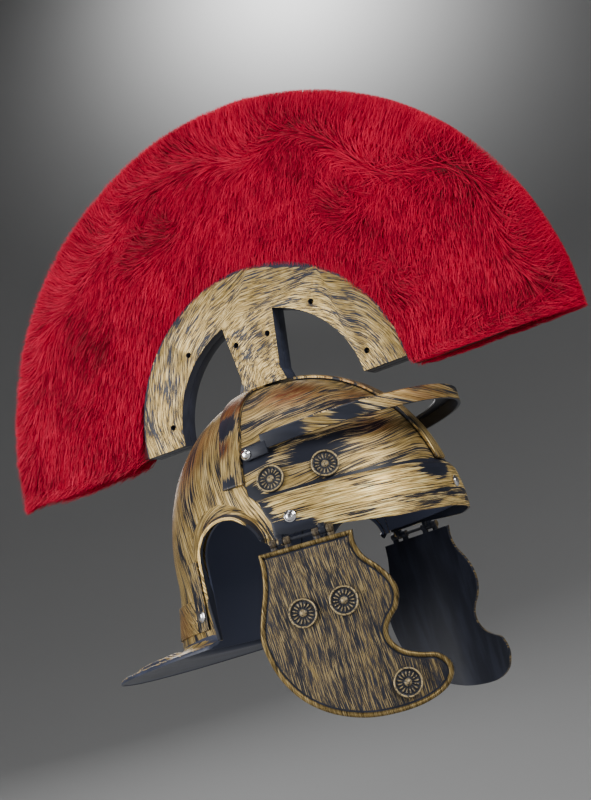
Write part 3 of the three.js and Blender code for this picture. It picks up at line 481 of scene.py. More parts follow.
def round_map(points, middles):
    """Across the strokes' map is the turn round the skull; along it is the level."""
    turn = np.arctan2(points[:, 0], -points[:, 1])
    middle = np.arctan2(middles[:, 0], -middles[:, 1])
    turn = turn + 2 * PI * np.round((middle - turn) / (2 * PI))
    return turn * 100, points[:, 2]


def seam_line(back=0.0):
    """The seam from the crown down, in (y, z), or a line some way in front of it."""
    return [(SEAM_TOP - forward * FRONT_REACH - back, EQUATOR + height * SKULL_HEIGHT)
            for forward, height in SEAM]


def seam_at(z, back=0.0):
    """Where the seam is at a level."""
    line = seam_line(back)[::-1]
    return np.interp(z, [level for _, level in line], [y for y, _ in line])


def skull_block(grow, foot):
    """The skull's form as one closed block, down to a foot far below it."""
    deselect()
    columns = bpy.context.scene.helmet_sizes.skull_columns
    bpy.ops.mesh.primitive_uv_sphere_add(segments=columns, ring_count=columns // 2, radius=1)
    piece = bpy.context.object
    ball = points_of(piece) * MM
    turn = np.arctan2(ball[:, 1], ball[:, 0])
    rise = np.clip(ball[:, 2], 0, 1)
    upper = EQUATOR + (SKULL_HEIGHT + grow) * rise ** (2 / SKULL_ROUND)
    fall = np.clip(-ball[:, 2], 0, 1)
    lower = EQUATOR - (EQUATOR - foot) * np.minimum(fall / 0.9, 1)
    points = on_skull(turn, np.where(ball[:, 2] > 0, upper, lower), grow)
    closing = np.clip((1 - fall) / 0.1, 0, 1)
    points[:, :2] *= closing[:, None]
    return set_points(piece, points)


def skull_shell():
    """The skull's wall, closed at the foot of its block."""
    return carved(skull_block(0, BLOCK_FOOT), skull_block(-WALL, BLOCK_FOOT - 10))


# Materials
class Wire:
    """A socket that takes part in an expression; each step adds a Math node."""

    def __init__(self, maker, socket):
        self.maker = maker
        self.socket = socket

    def _math(self, operation, *values):
        return self.maker.add("ShaderNodeMath", {"operation": operation}, dict(enumerate(values)))

    def __add__(self, other):
        return self._math("ADD", self, other)

    def __mul__(self, other):
        return self._math("MULTIPLY", self, other)

    def __sub__(self, other):
        return self._math("SUBTRACT", self, other)

    def __rsub__(self, other):
        return self._math("SUBTRACT", other, self)

    __radd__ = __add__
    __rmul__ = __mul__

    def above(self, low, high):
        """A soft step from 0 at low to 1 at high."""
        return self.maker.add("ShaderNodeMapRange", {"interpolation_type": "SMOOTHSTEP"},
                              {"Value": self, "From Min": low, "From Max": high})

    def least(self, other):
        return self._math("MINIMUM", self, other)

    def most(self, other):
        return self._math("MAXIMUM", self, other)

    def clear(self):
        return self.most(0.0).least(1.0)


class Maker:
    """A material's nodes, added one method call at a time."""

    def __init__(self, name):
        self.material = bpy.data.materials.new(name)
        self.material.use_nodes = True
        self.tree = self.material.node_tree
        self.shader = self.tree.nodes["Principled BSDF"]

    def add(self, kind, settings=None, values=None, output=0):
        """A node of a kind, with its settings first and then the values or wires of its sockets."""
        node = self.tree.nodes.new(kind)
        for key, value in (settings or {}).items():
            setattr(node, key, value)
        for key, value in (values or {}).items():
            self.feed(node.inputs[key], value)
        return Wire(self, node.outputs[output])

    def feed(self, socket, value):
        """Links a wire to a socket, or sets the socket's own value, a colour with its alpha left at 1."""
        if isinstance(value, Wire):
            self.tree.links.new(value.socket, socket)
        elif hasattr(value, "__len__"):
            size = len(socket.default_value)
            socket.default_value = (tuple(value) + (1.0,) * size)[:size]
        else:
            socket.default_value = value

    def set(self, **values):
        """Sets or links the shader's sockets, whose names have _ for spaces."""
        for key, value in values.items():
            self.feed(self.shader.inputs[key.replace("_", " ")], value)
        return self.material

    def attribute(self, name):
        return self.add("ShaderNodeAttribute", {"attribute_name": name}, output="Fac")

    def mapped(self, source, place=(0, 0, 0), turn=(0, 0, 0), scale=(1, 1, 1)):
        return self.add("ShaderNodeMapping", {}, {"Vector": source, "Location": place, "Rotation": turn,
                                                  "Scale": scale})

    def strokes_map(self):
        return self.add("ShaderNodeUVMap", {"uv_map": "strokes"})

    def place(self):
        return self.add("ShaderNodeTexCoord", output="Object")

    def noise(self, vector, scale=1.0, detail=3.0, rough=0.55, output="Fac"):
        return self.add("ShaderNodeTexNoise", {}, {"Vector": vector, "Scale": scale, "Detail": detail,
                                                   "Roughness": rough}, output)

    def blend(self, factor, first, second):
        return self.add("ShaderNodeMix", {"data_type": "RGBA"}, {0: factor, 6: first, 7: second}, 2)

    def shift(self, vector, by, amount):
        """Moves a vector by a colour, to bend strokes."""
        half = self.add("ShaderNodeVectorMath", {"operation": "SUBTRACT"}, {0: by, 1: (0.5, 0.5, 0.5)})
        scaled = self.add("ShaderNodeVectorMath", {"operation": "MULTIPLY"}, {0: half, 1: amount})
        return self.add("ShaderNodeVectorMath", {"operation": "ADD"}, {0: vector, 1: scaled})

    def near(self, where, radius, softness=0.5, flatter=1.0):
        """1 near a place in millimetres and 0 beyond a radius, in a form some times flatter than wide."""
        centre = tuple(-value * MM * k for value, k in zip(where, (1, 1, flatter)))
        offset = self.mapped(self.place(), place=centre, scale=(1, 1, flatter))
        distance = self.add("ShaderNodeVectorMath", {"operation": "LENGTH"}, {0: offset}, output="Value")
        return 1 - distance.above(radius * MM * (1 - softness), radius * MM)

    def bump(self, height, strength, distance=0.0002):
        return self.add("ShaderNodeBump", {}, {"Height": height, "Strength": strength, "Distance": distance})


def shade(colour, by):
    """A colour made darker or brighter."""
    return tuple(value * by for value in colour)


def gold_over_plastic(name, turn=0.0, long=26.0, fine=1.0, cover=0.5, bare=(), stains=(), bands=(),
                      soft=0.035, seed=0.0, swirl=9.0, tone=1.0, bare_painted_light=1.0, grain=0.0, patchy=0.4):
    """Dry-brushed gold: strokes long across the map and fine along it.

    bare and stains are lists of a place, a radius, a depth and how many times flatter than wide;
    bands are stretches along the map, each with its low and high end and its depth. cover is how much
    gold there is, soft how it fades out, swirl how far the strokes bend, tone how bright the gold is,
    bare_painted_light how many times lighter the plastic is painted, as painted light on its shaded faces,
    grain how much of it is fine strokes and patchy how much is broad patches.
    """
    colours = bpy.context.scene.helmet_colours
    make = Maker(name)
    strokes = make.strokes_map()
    flat = make.mapped(strokes, place=(seed * 37.0, seed * 11.0, seed), turn=(0, 0, turn))
    bend = make.noise(make.mapped(flat, scale=(0.012, 0.03, 1)), detail=1.0, output="Color")
    bent = make.shift(flat, bend, (0, swirl, 0))
    broad = make.noise(make.mapped(bent, scale=(1 / long, 0.30 / fine, 1)), detail=3, rough=0.6)
    thin = make.noise(make.mapped(bent, place=(5, 3, 9), scale=(1.5 / long, 1.0 / fine, 1)),
                      detail=3, rough=0.65)
    hairs = make.noise(make.mapped(bent, place=(1, 8, 4), scale=(1.1 / long, 2.3 / fine, 1)), detail=2)
    patches = make.noise(make.mapped(bent, place=(2, 2, 2), scale=(0.45 / long, 0.07 / fine, 1)), detail=2)
    level = broad * (0.42 - grain) + thin * (0.30 + grain) + hairs * 0.22 + (patches - 0.5) * patchy + 0.03
    level = level + make.attribute("high") * 0.16
    for where, radius, depth, flatter in bare:
        level = level - make.near(where, radius, 1.0, flatter) * depth
    along = make.add("ShaderNodeSeparateXYZ", {}, {"Vector": strokes}, output="Y")
    for low, high, depth in bands:
        level = level - along.above(low - 1, low) * (1 - along.above(high, high + 1)) * depth
    limit = 0.5 - (cover - 0.5) * 0.4
    paint = level.above(limit - soft, limit + soft) * make.attribute("painted")
    thickness = thin * 0.5 + hairs * 0.35 + broad * 0.15
    gold = make.blend(thickness.above(0.43, 0.51), shade(colours.gold, 0.13 * tone),
                      shade(colours.gold, tone))
    gold = make.blend(thickness.above(0.52, 0.58), gold, shade(colours.gold_pale, tone))
    stain = None
    for where, radius, depth, flatter in stains:
        spot = make.near(where, radius, 1.0, flatter) * depth * (0.4 + broad.above(0.35, 0.6) * 0.9)
        stain = spot if stain is None else stain.most(spot)
    if stain is not None:
        gold = make.blend(stain.clear() * 0.85, gold, colours.stain)
    # The plastic's colour is scaled up by the painted-light factor
    plastic = make.blend(patches.above(0.4, 0.7), shade(colours.plastic, bare_painted_light),
                         shade(colours.plastic, bare_painted_light * 1.7))
    # Faces that look into the bowl get plastic 6.5 times lighter, as painted light on its shaded inside
    plastic = make.blend(make.attribute("inner"), plastic, shade(colours.plastic, 6.5))
    return make.set(Base_Color=make.blend(paint, plastic, gold), Metallic=paint * 0.6,
                    Roughness=0.34 + paint * 0.06 + thin * 0.12, Specular_IOR_Level=0.26,
                    Normal=make.bump(paint * 0.6 + thickness * 0.8, 0.45, 0.00025))


def dark_plastic():
    """Blue-black plastic with a little gold on what stands highest."""
    colours = bpy.context.scene.helmet_colours
    make = Maker("moulded_plastic")
    grain = make.noise(make.place(), scale=900, detail=3)
    gold = make.attribute("high") * grain.above(0.36, 0.5)
    return make.set(Base_Color=make.blend(gold, colours.plastic, shade(colours.gold_pale, 0.8)),
                    Metallic=gold * 0.6, Roughness=0.34 + grain * 0.16, Normal=make.bump(grain, 0.15, 0.0001))


def chrome():
    """Bright plating with a faint smear."""
    make = Maker("rivet_chrome")
    smear = make.noise(make.place(), scale=420, detail=3)
    return make.set(Base_Color=(0.86, 0.85, 0.86), Metallic=1.0, Roughness=0.12 + smear * 0.18,
                    Normal=make.bump(smear, 0.08, 0.0001))


def fur():
    """Each lock runs from a root darkened as painted shade to a bright tip, and its brightest tips turn pink
    as a painted highlight; its tone says how bright it is.
    """
    colours = bpy.context.scene.helmet_colours
    make = Maker("crimson_fur")
    along = make.attribute("along")
    tone = make.attribute("tone")
    base = make.blend((along * 0.55 + tone * 0.75 - 0.18).clear(), colours.fur_root_shade, colours.fur)
    pink_painted_highlight = make.blend(along.above(0.4, 1.0) * tone.above(0.62, 1.0) * 0.3, base, (0.85, 0.04, 0.11))
    return make.set(Base_Color=pink_painted_highlight, Roughness=0.58 - along * 0.1, Specular_IOR_Level=0.14)


def fur_backing():
    """The dull cloth that the locks grow from."""
    # The cloth takes the roots' dark colour, as painted shade under the locks
    root = bpy.context.scene.helmet_colours.fur_root_shade
    make = Maker("fur_backing")
    weave = make.noise(make.place(), scale=700, detail=4)
    return make.set(Base_Color=make.blend(weave, shade(root, 0.7), root), Roughness=0.8 + weave * 0.1,
                    Normal=make.bump(weave, 0.5, 0.0004))


# The bowl
# Where its plastic shows, the first patch being a painted shadow under the peak's arm, and where the wash
# lies: place, radius, depth, and how many times flatter than wide
BOWL_BARE_AND_SHADOW = (((-74, -58, -64), 36, 0.15, 3.0), ((-84, -12, -56), 22, 0.40, 1.6),
             ((-60, -22, -12), 16, 0.22, 2.0), ((-90, -10, -84), 12, 0.3, 1.0))
BOWL_STAINS = (((-48, -36, -12), 40, 1.0, 1.6), ((-30, -80, -26), 34, 0.8, 2.0),
               ((-60, 60, -30), 44, 1.0, 1.0), ((-30, 92, -70), 56, 1.1, 0.7))
FAR = 320.0
EAR_CUT_SPREAD = 0.6


def far_slab(outline):
    """A cutter wider than the helmet."""
    return slab("cutter", outline, -FAR, FAR)


def ear_edge(spread, share):
    """The ear opening's edge from its front foot over its top to its rear foot."""
    middle = (EAR_REAR - EAR_FRONT) / 2 - 1
    half = (EAR_REAR + EAR_FRONT) / 2
    turn = np.linspace(PI, 0, 41)
    arch = np.column_stack([middle + (half + spread) * np.cos(turn),
                            EQUATOR + 4 + (EAR_TOP - 4 + spread) * np.sin(turn)])
    front = [[-EAR_FRONT + 1 - spread, EQUATOR + BROW_FOOT + 0.5]]
    rear = [[EAR_REAR + spread, EQUATOR - 14], [EAR_REAR + 1 + spread, EQUATOR - 30],
            [EAR_REAR + 1.6 + spread, NECK_FOOT]]
    raised = np.maximum(arch[:, 1], EQUATOR + BROW_FOOT + 2)
    arch[:, 1] = np.where(arch[:, 0] < -EAR_FRONT + 3, raised, arch[:, 1])
    edge = np.vstack([front, arch, rear])
    steps = steps_along(edge)
    return np.column_stack([np.interp(share * steps[-1], steps, edge[:, k]) for k in range(2)])


def ear_guard():
    """A hollow curve that grows out of the skull and stands up round the ear opening."""
    def place(u, v):
        edge = ear_edge(0, u)
        ahead = ear_edge(0, np.minimum(u + 0.01, 1)) - ear_edge(0, np.maximum(u - 0.01, 0))
        ahead /= np.linalg.norm(ahead, axis=1, keepdims=True)
        out = np.column_stack([-ahead[:, 1], ahead[:, 0]])
        swell = 2.2 + EAR_SWELL * np.sin(PI * np.clip((u - 0.16) / 0.6, 0, 1)) ** 1.3
        stand = EAR_RISE * (0.45 + 0.55 * np.minimum(u / 0.16, 1))
        stand = stand * (1 - 0.55 * np.maximum((u - 0.75) / 0.25, 0))
        turn = PI / 2 * np.clip((v - 0.12) / 0.88, 0, 1)
        sunk = np.clip((0.12 - v) / 0.12, 0, 1)
        spread = swell * (1 - np.sin(turn)) + 2 * sunk
        rise = stand * (1 - np.cos(turn)) - 0.9 * sunk
        y = edge[:, 0] + out[:, 0] * spread
        z = edge[:, 1] + out[:, 1] * spread
        return np.column_stack([-(skull_side(y, z) + rise), y, z])
    return form("ear_guard_right", 110, 26, place, from_skull)


def neck_guard():
    """A crescent plate with ribs on top, from a small curve at the neck to a rolled rim."""
    start = math.asin((EAR_REAR + 2) / (REAR_REACH + NECK_FLARE))
    upper = 0.74

    def place(u, v):
        base = on_skull(start + (PI - 2 * start) * u, NECK_FOOT + 6.0)
        base[:, 2] = 0
        turn = PI * (0.012 + 0.976 * u)
        rim = np.column_stack([GUARD_HALF_WIDTH * np.cos(turn),
                               GUARD_CENTRE + (GUARD_REACH - GUARD_CENTRE) * np.sin(turn), 0 * turn])
        out = rim - base
        reach = np.maximum(np.linalg.norm(out, axis=1), 4)
        out /= np.linalg.norm(out, axis=1, keepdims=True)
        curve = np.minimum(6, reach * 0.5)
        fall = GUARD_DROP * reach / (GUARD_REACH - REAR_REACH - NECK_FLARE)
        under = v > upper
        way = np.where(under, (1 - v) / (1 - upper), v / upper)
        bend = np.clip(way / 0.16, 0, 1) * PI / 2
        flat = np.clip((way - 0.16) / 0.74, 0, 1)
        lip = np.clip((way - 0.90) / 0.10, 0, 1) * PI / 2
        along = curve * (1 - np.cos(bend)) + (reach - curve - 2) * flat + 2 * np.sin(lip)
        along = along - under * GUARD_WALL * np.sin(lip) * 0.8
        level = NECK_FOOT + curve * (1 - np.sin(bend)) - fall * flat - (GUARD_LIP - 1) * (1 - np.cos(lip))
        ends = np.clip(np.minimum(u - 0.10, 0.90 - u) / 0.04, 0, 1)
        for share in RIBS:
            off = (flat - (0.06 + 0.86 * share)) * (reach - curve)
            level = level + RIB_RISE * np.exp(-(off / 1.7) ** 4) * ends * ~under
        level = level - under * GUARD_WALL * np.cos(lip)
        sunk = way == 0
        points = base + out * (along - sunk * 1.2)[:, None]
        points[:, 2] = level + sunk * np.where(under, GUARD_WALL + 3, 3)
        return points
    return closed(form("neck_guard", 110, 110, place))


class HELMET_OT_bowl(bpy.types.Operator):
    """Builds both halves of the bowl, the ear guards and the neck guard"""
    bl_idname = "helmet.bowl"
    bl_label = "Bowl"

    def execute(self, context):
        line, foot = seam_line(GAP), EQUATOR + FRONT_FOOT
        outline = [*line, (line[-1][0], foot), (-FAR, foot), (-FAR, line[0][1])]
        front = carved(skull_shell(), far_slab(outline), "INTERSECT")
        front.name = "front_bowl"
        line, foot, hem = seam_line(), EQUATOR + BROW_FOOT, NECK_FOOT + 1
        outline = [(FAR, hem), (FAR, line[0][1]), *line, (line[-1][0], foot), (10, foot), (10, hem)]
        rear = carved(skull_shell(), far_slab(outline), "INTERSECT")
        rear.name = "rear_bowl"
        edge = ear_edge(EAR_CUT_SPREAD, np.linspace(0, 1, 60))
        carved(rear, far_slab([(edge[0, 0], BLOCK_FOOT), *map(tuple, edge), (edge[-1, 0], BLOCK_FOOT)]))
        # The band along the map from -87 to -84.5 thins the gold into a painted shade line on the bowl just
        # over the brow band
        gold_front = gold_over_plastic("gold_front_bowl", turn=math.radians(-6), long=44, fine=0.9,
                                       cover=0.56, bare=BOWL_BARE_AND_SHADOW, stains=BOWL_STAINS,
                                       bands=((-87, -84.5, 0.2),), seed=1, swirl=22, grain=0.12)
        gold_rear = gold_over_plastic("gold_rear_bowl", turn=PI / 2 - 0.35, long=38, fine=1.15, cover=0.58,
                                      stains=BOWL_STAINS, seed=2, swirl=18)
        for piece, node, gold in ((front, "bowl_front", gold_front), (rear, "bowl_rear", gold_rear)):
            smooth(piece)
            draw_map(piece, round_map)
            mark_painted(piece, from_skull, 0.1)
            middles, normals = faces_of(piece)
            # Faces that look into the bowl are marked for the painted light that lightens their plastic
            mark(piece, "inner", np.sum(normals * from_skull(middles), axis=1) < -0.2)
            settle(piece, "shell", "brushed_gold", gold, node)

        guard = thick(ear_guard(), EAR_WALL)
        bevelled(guard, 1.2, 3)
        points = points_of(guard)
        stands = np.abs(points[:, 0]) - skull_side(points[:, 1], points[:, 2])
        rim = np.clip((stands - EAR_RISE * 0.82) / 1.5, 0, 1)
        hollow = np.clip((stands - EAR_RISE * 0.25) / 2, 0, 1) * (1 - rim)
        mark(guard, "high", rim - hollow * 1.2, "POINT")
        smooth(guard, 50)

        def ear_map(points, middles):
            y, z = points[:, 1] - 12, points[:, 2] - EQUATOR - 4
            return 30 * np.arctan2(z, y), 0.8 * np.hypot(z, y) + 0.5 * points[:, 0]
        draw_map(guard, ear_map)
        mark_painted(guard, from_skull, -0.35)
        gold_ear = gold_over_plastic("gold_ear_guard", long=24, cover=0.62, seed=3)
        for piece in (guard, mirror_of(guard, "ear_guard_left")):
            settle(piece, "shell", "brushed_gold", gold_ear, "bowl_rear")

        plate = smooth(neck_guard(), 40)
        draw_map(plate, lambda points, middles: (
            70 * np.arctan2(points[:, 0], points[:, 1] - 30), np.hypot(points[:, 0], points[:, 1] - 30)))
        mark_painted(plate, always(0, 0.2, 1.0), 0.5)
        # The plastic here is painted 2.6 times lighter, as painted light on the guard's shaded underside
        gold_guard = gold_over_plastic("gold_neck_guard", long=30, bare_painted_light=2.6, seed=4)
        settle(plate, "shell", "brushed_gold", gold_guard, "bowl_rear")
        return {"FINISHED"}


# The bands
def brow_proud(angle):
    """How far the brow band stands out of the skull, by the turn round it."""
    return BROW_SIDE + (BROW_FRONT - BROW_SIDE) * np.maximum(-np.sin(angle), 0) ** 2


def brow_foot(angle):
    """The height of the brow band's foot over the equator, by the turn round the skull."""
    return BROW_FOOT - BROW_FALL * np.clip((-np.sin(angle) - 0.3) / 0.45, 0, 1)


BROW_MIDDLE = EQUATOR + (BROW_TOP - BROW_LEDGE + BROW_FOOT) / 2
# Rows of the brow band's section: share of its height from the top, and share of how proud it stands
BROW_SECTION = ((0, 0.0), (0.006, 0.20), (0.05, 0.50), (0.11, 0.80), (0.17, 0.96), (0.23, 1.0), (0.6, 1.16),
                (0.93, 1.05), (1.0, 1.0))


# Where the band's plastic shows, as for the bowl
BROW_BARE = (((-16, -112, -92), 24, 0.30, 1.8), ((-92, -30, -112), 26, 0.34, 1.6),
             ((-96, -14, -98), 16, 0.3, 1.0), ((-70, -80, -94), 16, 0.1, 2.0))


def brow_band():
    """The band's outer face, with a ledge at its top and a slight swell."""
    def place(u, v):
        shares = np.linspace(0, 1, len(BROW_SECTION))
        down = np.interp(v, shares, [row[0] for row in BROW_SECTION])
        stands = np.interp(v, shares, [row[1] for row in BROW_SECTION])
        first = PI * (1 + u)
        foot = EQUATOR + brow_foot(first)
        level = EQUATOR + BROW_TOP + (foot - EQUATOR - BROW_TOP) * down
        proud = GAP + 0.2 + (brow_proud(first) - GAP - 0.2) * stands
        _, reach, _ = ring(level, proud)
        end = np.arcsin(np.clip(-seam_at(level, GAP * 2) / reach, 0, 1) ** (FRONT_ROUND / 2))
        angle = PI + end + (PI - 2 * end) * u
        return on_skull(angle, level, proud)
    return form("brow_band", 150, 32, place, from_skull)


def crown_ridge():
    """A strip up the middle of the front, from the brow band to the seam."""
    top = math.acos((SEAM_TOP + 18) / FRONT_REACH)
    foot = math.asin((BROW_TOP + 1.5) / SKULL_HEIGHT)

    def place(u, v):
        x = (u - 0.5) * RIDGE_WIDTH
        grow = GAP + RIDGE_RISE
        turn = foot + (top - foot) * v
        level = EQUATOR + (SKULL_HEIGHT + grow) * np.sin(turn)
        half, reach, _ = ring(level, grow)
        y = -reach * np.clip(1 - (np.abs(x) / half) ** FRONT_ROUND, 0, None) ** (1 / FRONT_ROUND)
        return np.column_stack([x, y, level])
    return form("front_ridge", 12, 90, place, from_skull)


def cross_band():
    """A strip over the skull that follows the seam; its level and the seam's settle in a few rounds."""
    foot = EQUATOR + SEAM[4][1] * SKULL_HEIGHT

    def place(u, v):
        grow = GAP + BAND_RISE
        side = np.sign(u - 0.5)
        reach = np.abs(2 * u - 1)
        y = SEAM_TOP + GAP + BAND_WIDTH * v
        for _ in range(3):
            share = (1 - (np.clip(y, 0, None) / (REAR_REACH + grow)) ** REAR_ROUND) ** (1 / REAR_ROUND)
            limit = skull_side(np.clip(y, 0, None), foot + 0 * y, grow)
            end = np.arcsin(np.clip(limit / ((HALF_WIDTH + grow) * share), 0, 1))
            x = (HALF_WIDTH + grow) * share * np.sin(end * reach)
            z = skull_top(x, y, grow)
            y = seam_at(z) + GAP + (BAND_WIDTH - 1.6 * reach) * v
        return np.column_stack([side * x, y, z])
    return form("cross_band", 160, 14, place, from_skull)


def neck_strip():
    """A strip behind the ear opening."""
    def place(u, v):
        z = NECK_FOOT + STRIP_FOOT + (EQUATOR + STRIP_TOP - NECK_FOOT - STRIP_FOOT) * v
        y = EAR_REAR + STRIP_OFFSET + STRIP_WIDTH * u + STRIP_SLANT * (1 - v)
        return np.column_stack([-skull_side(y, z, GAP + STRIP_RISE), y, z])
    return form("neck_strip_right", 12, 40, place, from_skull)


def neck_band():
    """A low band round the back of the neck between the two strips."""
    edge = EAR_REAR + STRIP_OFFSET + STRIP_WIDTH + STRIP_SLANT + GAP
    foot = NECK_FOOT + STRIP_FOOT
    start = math.asin((edge / (REAR_REACH + NECK_FLARE * 0.8)) ** (REAR_ROUND / 2))

    def place(u, v):
        return on_skull(start + (PI - 2 * start) * u, foot + NECK_BAND_HEIGHT * v, NECK_BAND_RISE)
    return form("neck_band", 90, 8, place, from_skull)


class HELMET_OT_bands(bpy.types.Operator):
    """Builds the brow band, the ridge, the cross band, the neck strips and the neck band"""
    bl_idname = "helmet.bands"
    bl_label = "Bands"

    def execute(self, context):
        brow = bevelled(thick(brow_band(), BROW_WALL - 0.4))
        # The first band thins the gold along the top ledge as painted shade, the second thins it on the lower
        # part, and tone 1.5 brightens the gold as a painted highlight
        gold_brow = gold_over_plastic("gold_brow_band", long=30, fine=0.85, cover=0.73, bare=BROW_BARE,
                                      bands=((-89.5, -85.5, 0.08), (-125, -107, 0.07)), seed=5, swirl=5,
                                      tone=1.5, grain=0.14, patchy=0.34)
        ridge = bevelled(thick(crown_ridge(), RIDGE_RISE), 1.6, 3)
        band = bevelled(thick(cross_band(), BAND_RISE), 1.2)
        strip = bevelled(thick(neck_strip(), STRIP_RISE))
        hem = bevelled(thick(neck_band(), NECK_BAND_RISE))
        gold_ridge = gold_over_plastic("gold_ridge", turn=PI / 2, long=30, fine=0.9, cover=0.6, seed=6,
                                       stains=(((0, -70, -10), 60, 0.6, 1.0),))
        gold_band = gold_over_plastic("gold_cross_band", turn=PI / 2, long=22, fine=0.7, cover=0.58, seed=7,
                                      bare=(((-68, 12, -27), 15, 0.35, 1.0), ((-86, 6, -70), 9, 0.3, 1.0)),
                                      stains=(((-50, 14, -16), 30, 1.2, 1.0), ((-76, 12, -44), 14, 1.2, 1.0)))
        gold_strip = gold_over_plastic("gold_neck_strip", turn=PI / 2, long=16, cover=0.4, seed=8)
        gold_hem = gold_over_plastic("gold_neck_band", turn=PI / 4, long=14, fine=0.8, cover=0.6, seed=13,
                                     stains=(((-60, 76, -150), 30, 0.7, 1.0),))
        for piece, gold, *nodes in ((brow, gold_brow, "brow_band"), (ridge, gold_ridge, "crown_ridge"),
                                    (band, gold_band, "cross_band"), (strip, gold_strip, "neck_strip_right"),
                                    (hem, gold_hem)):
            smooth(piece, 40)
            draw_map(piece, round_map)
            mark_painted(piece, from_skull, -0.25)
            settle(piece, "shell", "brushed_gold", gold, *nodes)
        settle(mirror_of(strip, "neck_strip_left"), "shell", "brushed_gold", gold_strip, "neck_strip_left")
        return {"FINISHED"}


# The peak
def peak_half_width():
    """Half the peak's width outside, at its pivots."""
    return float(skull_side(-PEAK_PIVOT_Y, EQUATOR + PEAK_PIVOT_Z)) + PEAK_CLEARANCE + PEAK_WALL


def peak_bar():
    """The U-shaped bar: a lip on edge with a flat part inside its top."""
    half = peak_half_width()
    start = math.asin(13 / PEAK_REACH)
    foot = -PEAK_LIP * 0.1
    top = foot + PEAK_LIP

    def place(u, v):
        angle = PI + start + (PI - 2 * start) * u
        nose = np.maximum(-np.sin(angle), 0)
        out = np.column_stack([PEAK_REACH * np.cos(angle), half * np.sin(angle)])
        out /= np.linalg.norm(out, axis=1, keepdims=True)
        edge = np.column_stack([half * np.cos(angle), PEAK_REACH * np.sin(angle)])
        plate = PEAK_WALL + 0.2 + (PEAK_PLATE - PEAK_WALL) * nose ** 2
        wall = np.full_like(u, PEAK_WALL)
        insets = np.stack([wall, wall, plate, plate, 0.8 + 0 * u, 0 * u, 0 * u, wall])
        levels = np.array([foot, top - PEAK_WALL, top - PEAK_WALL, top, top, top - 1, foot, foot])
        corner = np.clip(np.round(v * 7).astype(int), 0, 7)
        inset = insets[corner, np.arange(len(u))]
        flat = edge - out * inset[:, None]
        return np.column_stack([flat, levels[corner]])
    return closed(form("peak_bar", 140, 7, place))


def peak_tab(side, half):
    """A flat tab with a round end about the pivot."""
    turn = np.linspace(PI / 2, -PI / 2, 17)
    round_end = [(PEAK_TAB / 2 * math.cos(a), PEAK_TAB / 2 * math.sin(a)) for a in turn]
    outline = [*round_end, (-PEAK_TAB_LENGTH, -PEAK_TAB / 2), (-PEAK_TAB_LENGTH, PEAK_TAB / 2)]
    inner = half - PEAK_WALL
    return slab("peak_tab", outline, side * inner, side * (inner + PEAK_TAB_WALL))


class HELMET_OT_peak(bpy.types.Operator):
    """Builds the swinging peak"""
    bl_idname = "helmet.peak"
    bl_label = "Peak"

    def execute(self, context):
        half = peak_half_width()
        tabs = [bevelled(peak_tab(side, half), 0.7) for side in (-1, 1)]
        peak = joined("swinging_peak", [bevelled(peak_bar()), *tabs])
        tilt = np.array(Matrix.Rotation(-PEAK_TILT, 3, "X"))
        set_points(peak, points_of(peak) @ tilt.T + np.array([0, -PEAK_PIVOT_Y, EQUATOR + PEAK_PIVOT_Z]))
        smooth(outwards(peak), 35)

        def peak_map(points, middles):
            x, y, z = points.T
            return 100 * np.arctan2(x, -y), np.hypot(x, y) + z
        draw_map(peak, peak_map)

        def out_of_peak(middles):
            way = middles * np.array([1, 1, 0])
            way /= np.linalg.norm(way, axis=1, keepdims=True)
            return way * 0.8 + np.array([0, 0, 0.6])
        mark_painted(peak, out_of_peak, 0.15)
        gold = gold_over_plastic("gold_peak", long=36, fine=1.1, cover=0.52, seed=9,
                                 bare=(((-84, -30, -48), 34, 0.36, 1.0), ((-70, -80, -46), 16, 0.16, 1.0),
                                       ((-84, -8, -53), 14, 0.9, 1.0)),
                                 stains=(((-30, -118, -44), 40, 0.5, 1.0),))
        settle(peak, "peak", "brushed_gold", gold, "peak")
        return {"FINISHED"}


# The cheek guards
ALONG = np.array([math.sin(HINGE_TOE), -math.cos(HINGE_TOE), 0])
OUT = np.array([-math.cos(HINGE_TOE), -math.sin(HINGE_TOE), 0])
CORNER = np.array([-HINGE_X, -HINGE_Y, EQUATOR - CHEEK_TOP])


def on_cheek(along, up, out):
    """A place in the right hinge's frame: forward along the hinge, up, and out from the plate."""
    return (CORNER + np.multiply.outer(along, ALONG) + np.multiply.outer(up, [0, 0, 1])
            + np.multiply.outer(out, OUT))


def cheek_bend(along, down):
    """How far the cheek guard curves in towards the face."""
    return CHEEK_WRAP * np.maximum(along - CHEEK_WRAP_START, 0) ** 2 + CHEEK_LEAN * np.maximum(down, 0)


def through(points, count):
    """A smooth line through points, with its steps spread evenly."""
    points = np.asarray(points, float)
    padded = np.vstack([2 * points[0] - points[1], points, 2 * points[-1] - points[-2]])
    fine = []
    for i in range(1, len(padded) - 2):
        a, b, c, d = padded[i - 1:i + 3]
        t = np.linspace(0, 1, 24, endpoint=False)[:, None]
        fine.append(0.5 * (2 * b + (c - a) * t + (2 * a - 5 * b + 4 * c - d) * t ** 2
                           + (3 * b - a - 3 * c + d) * t ** 3))
    fine = np.vstack([*fine, padded[-2:-1]])
    steps = steps_along(fine)
    even = np.linspace(0, steps[-1], count)
    return np.column_stack([np.interp(even, steps, fine[:, k]) for k in range(2)])


# Rows of the cheek guard from its edge inwards: distance in, and lift of the rolled border
BORDER_ROWS = ((0.0, 0.0), (0.0, 0.55), (0.25, 1.1), (0.8, 1.5), (1.6, 1.62), (2.3, 1.4), (2.8, 0.8),
               (3.1, 0.1), (3.3, -0.18), (3.8, -0.18), (4.3, 0.0))
GROOVE = -0.18


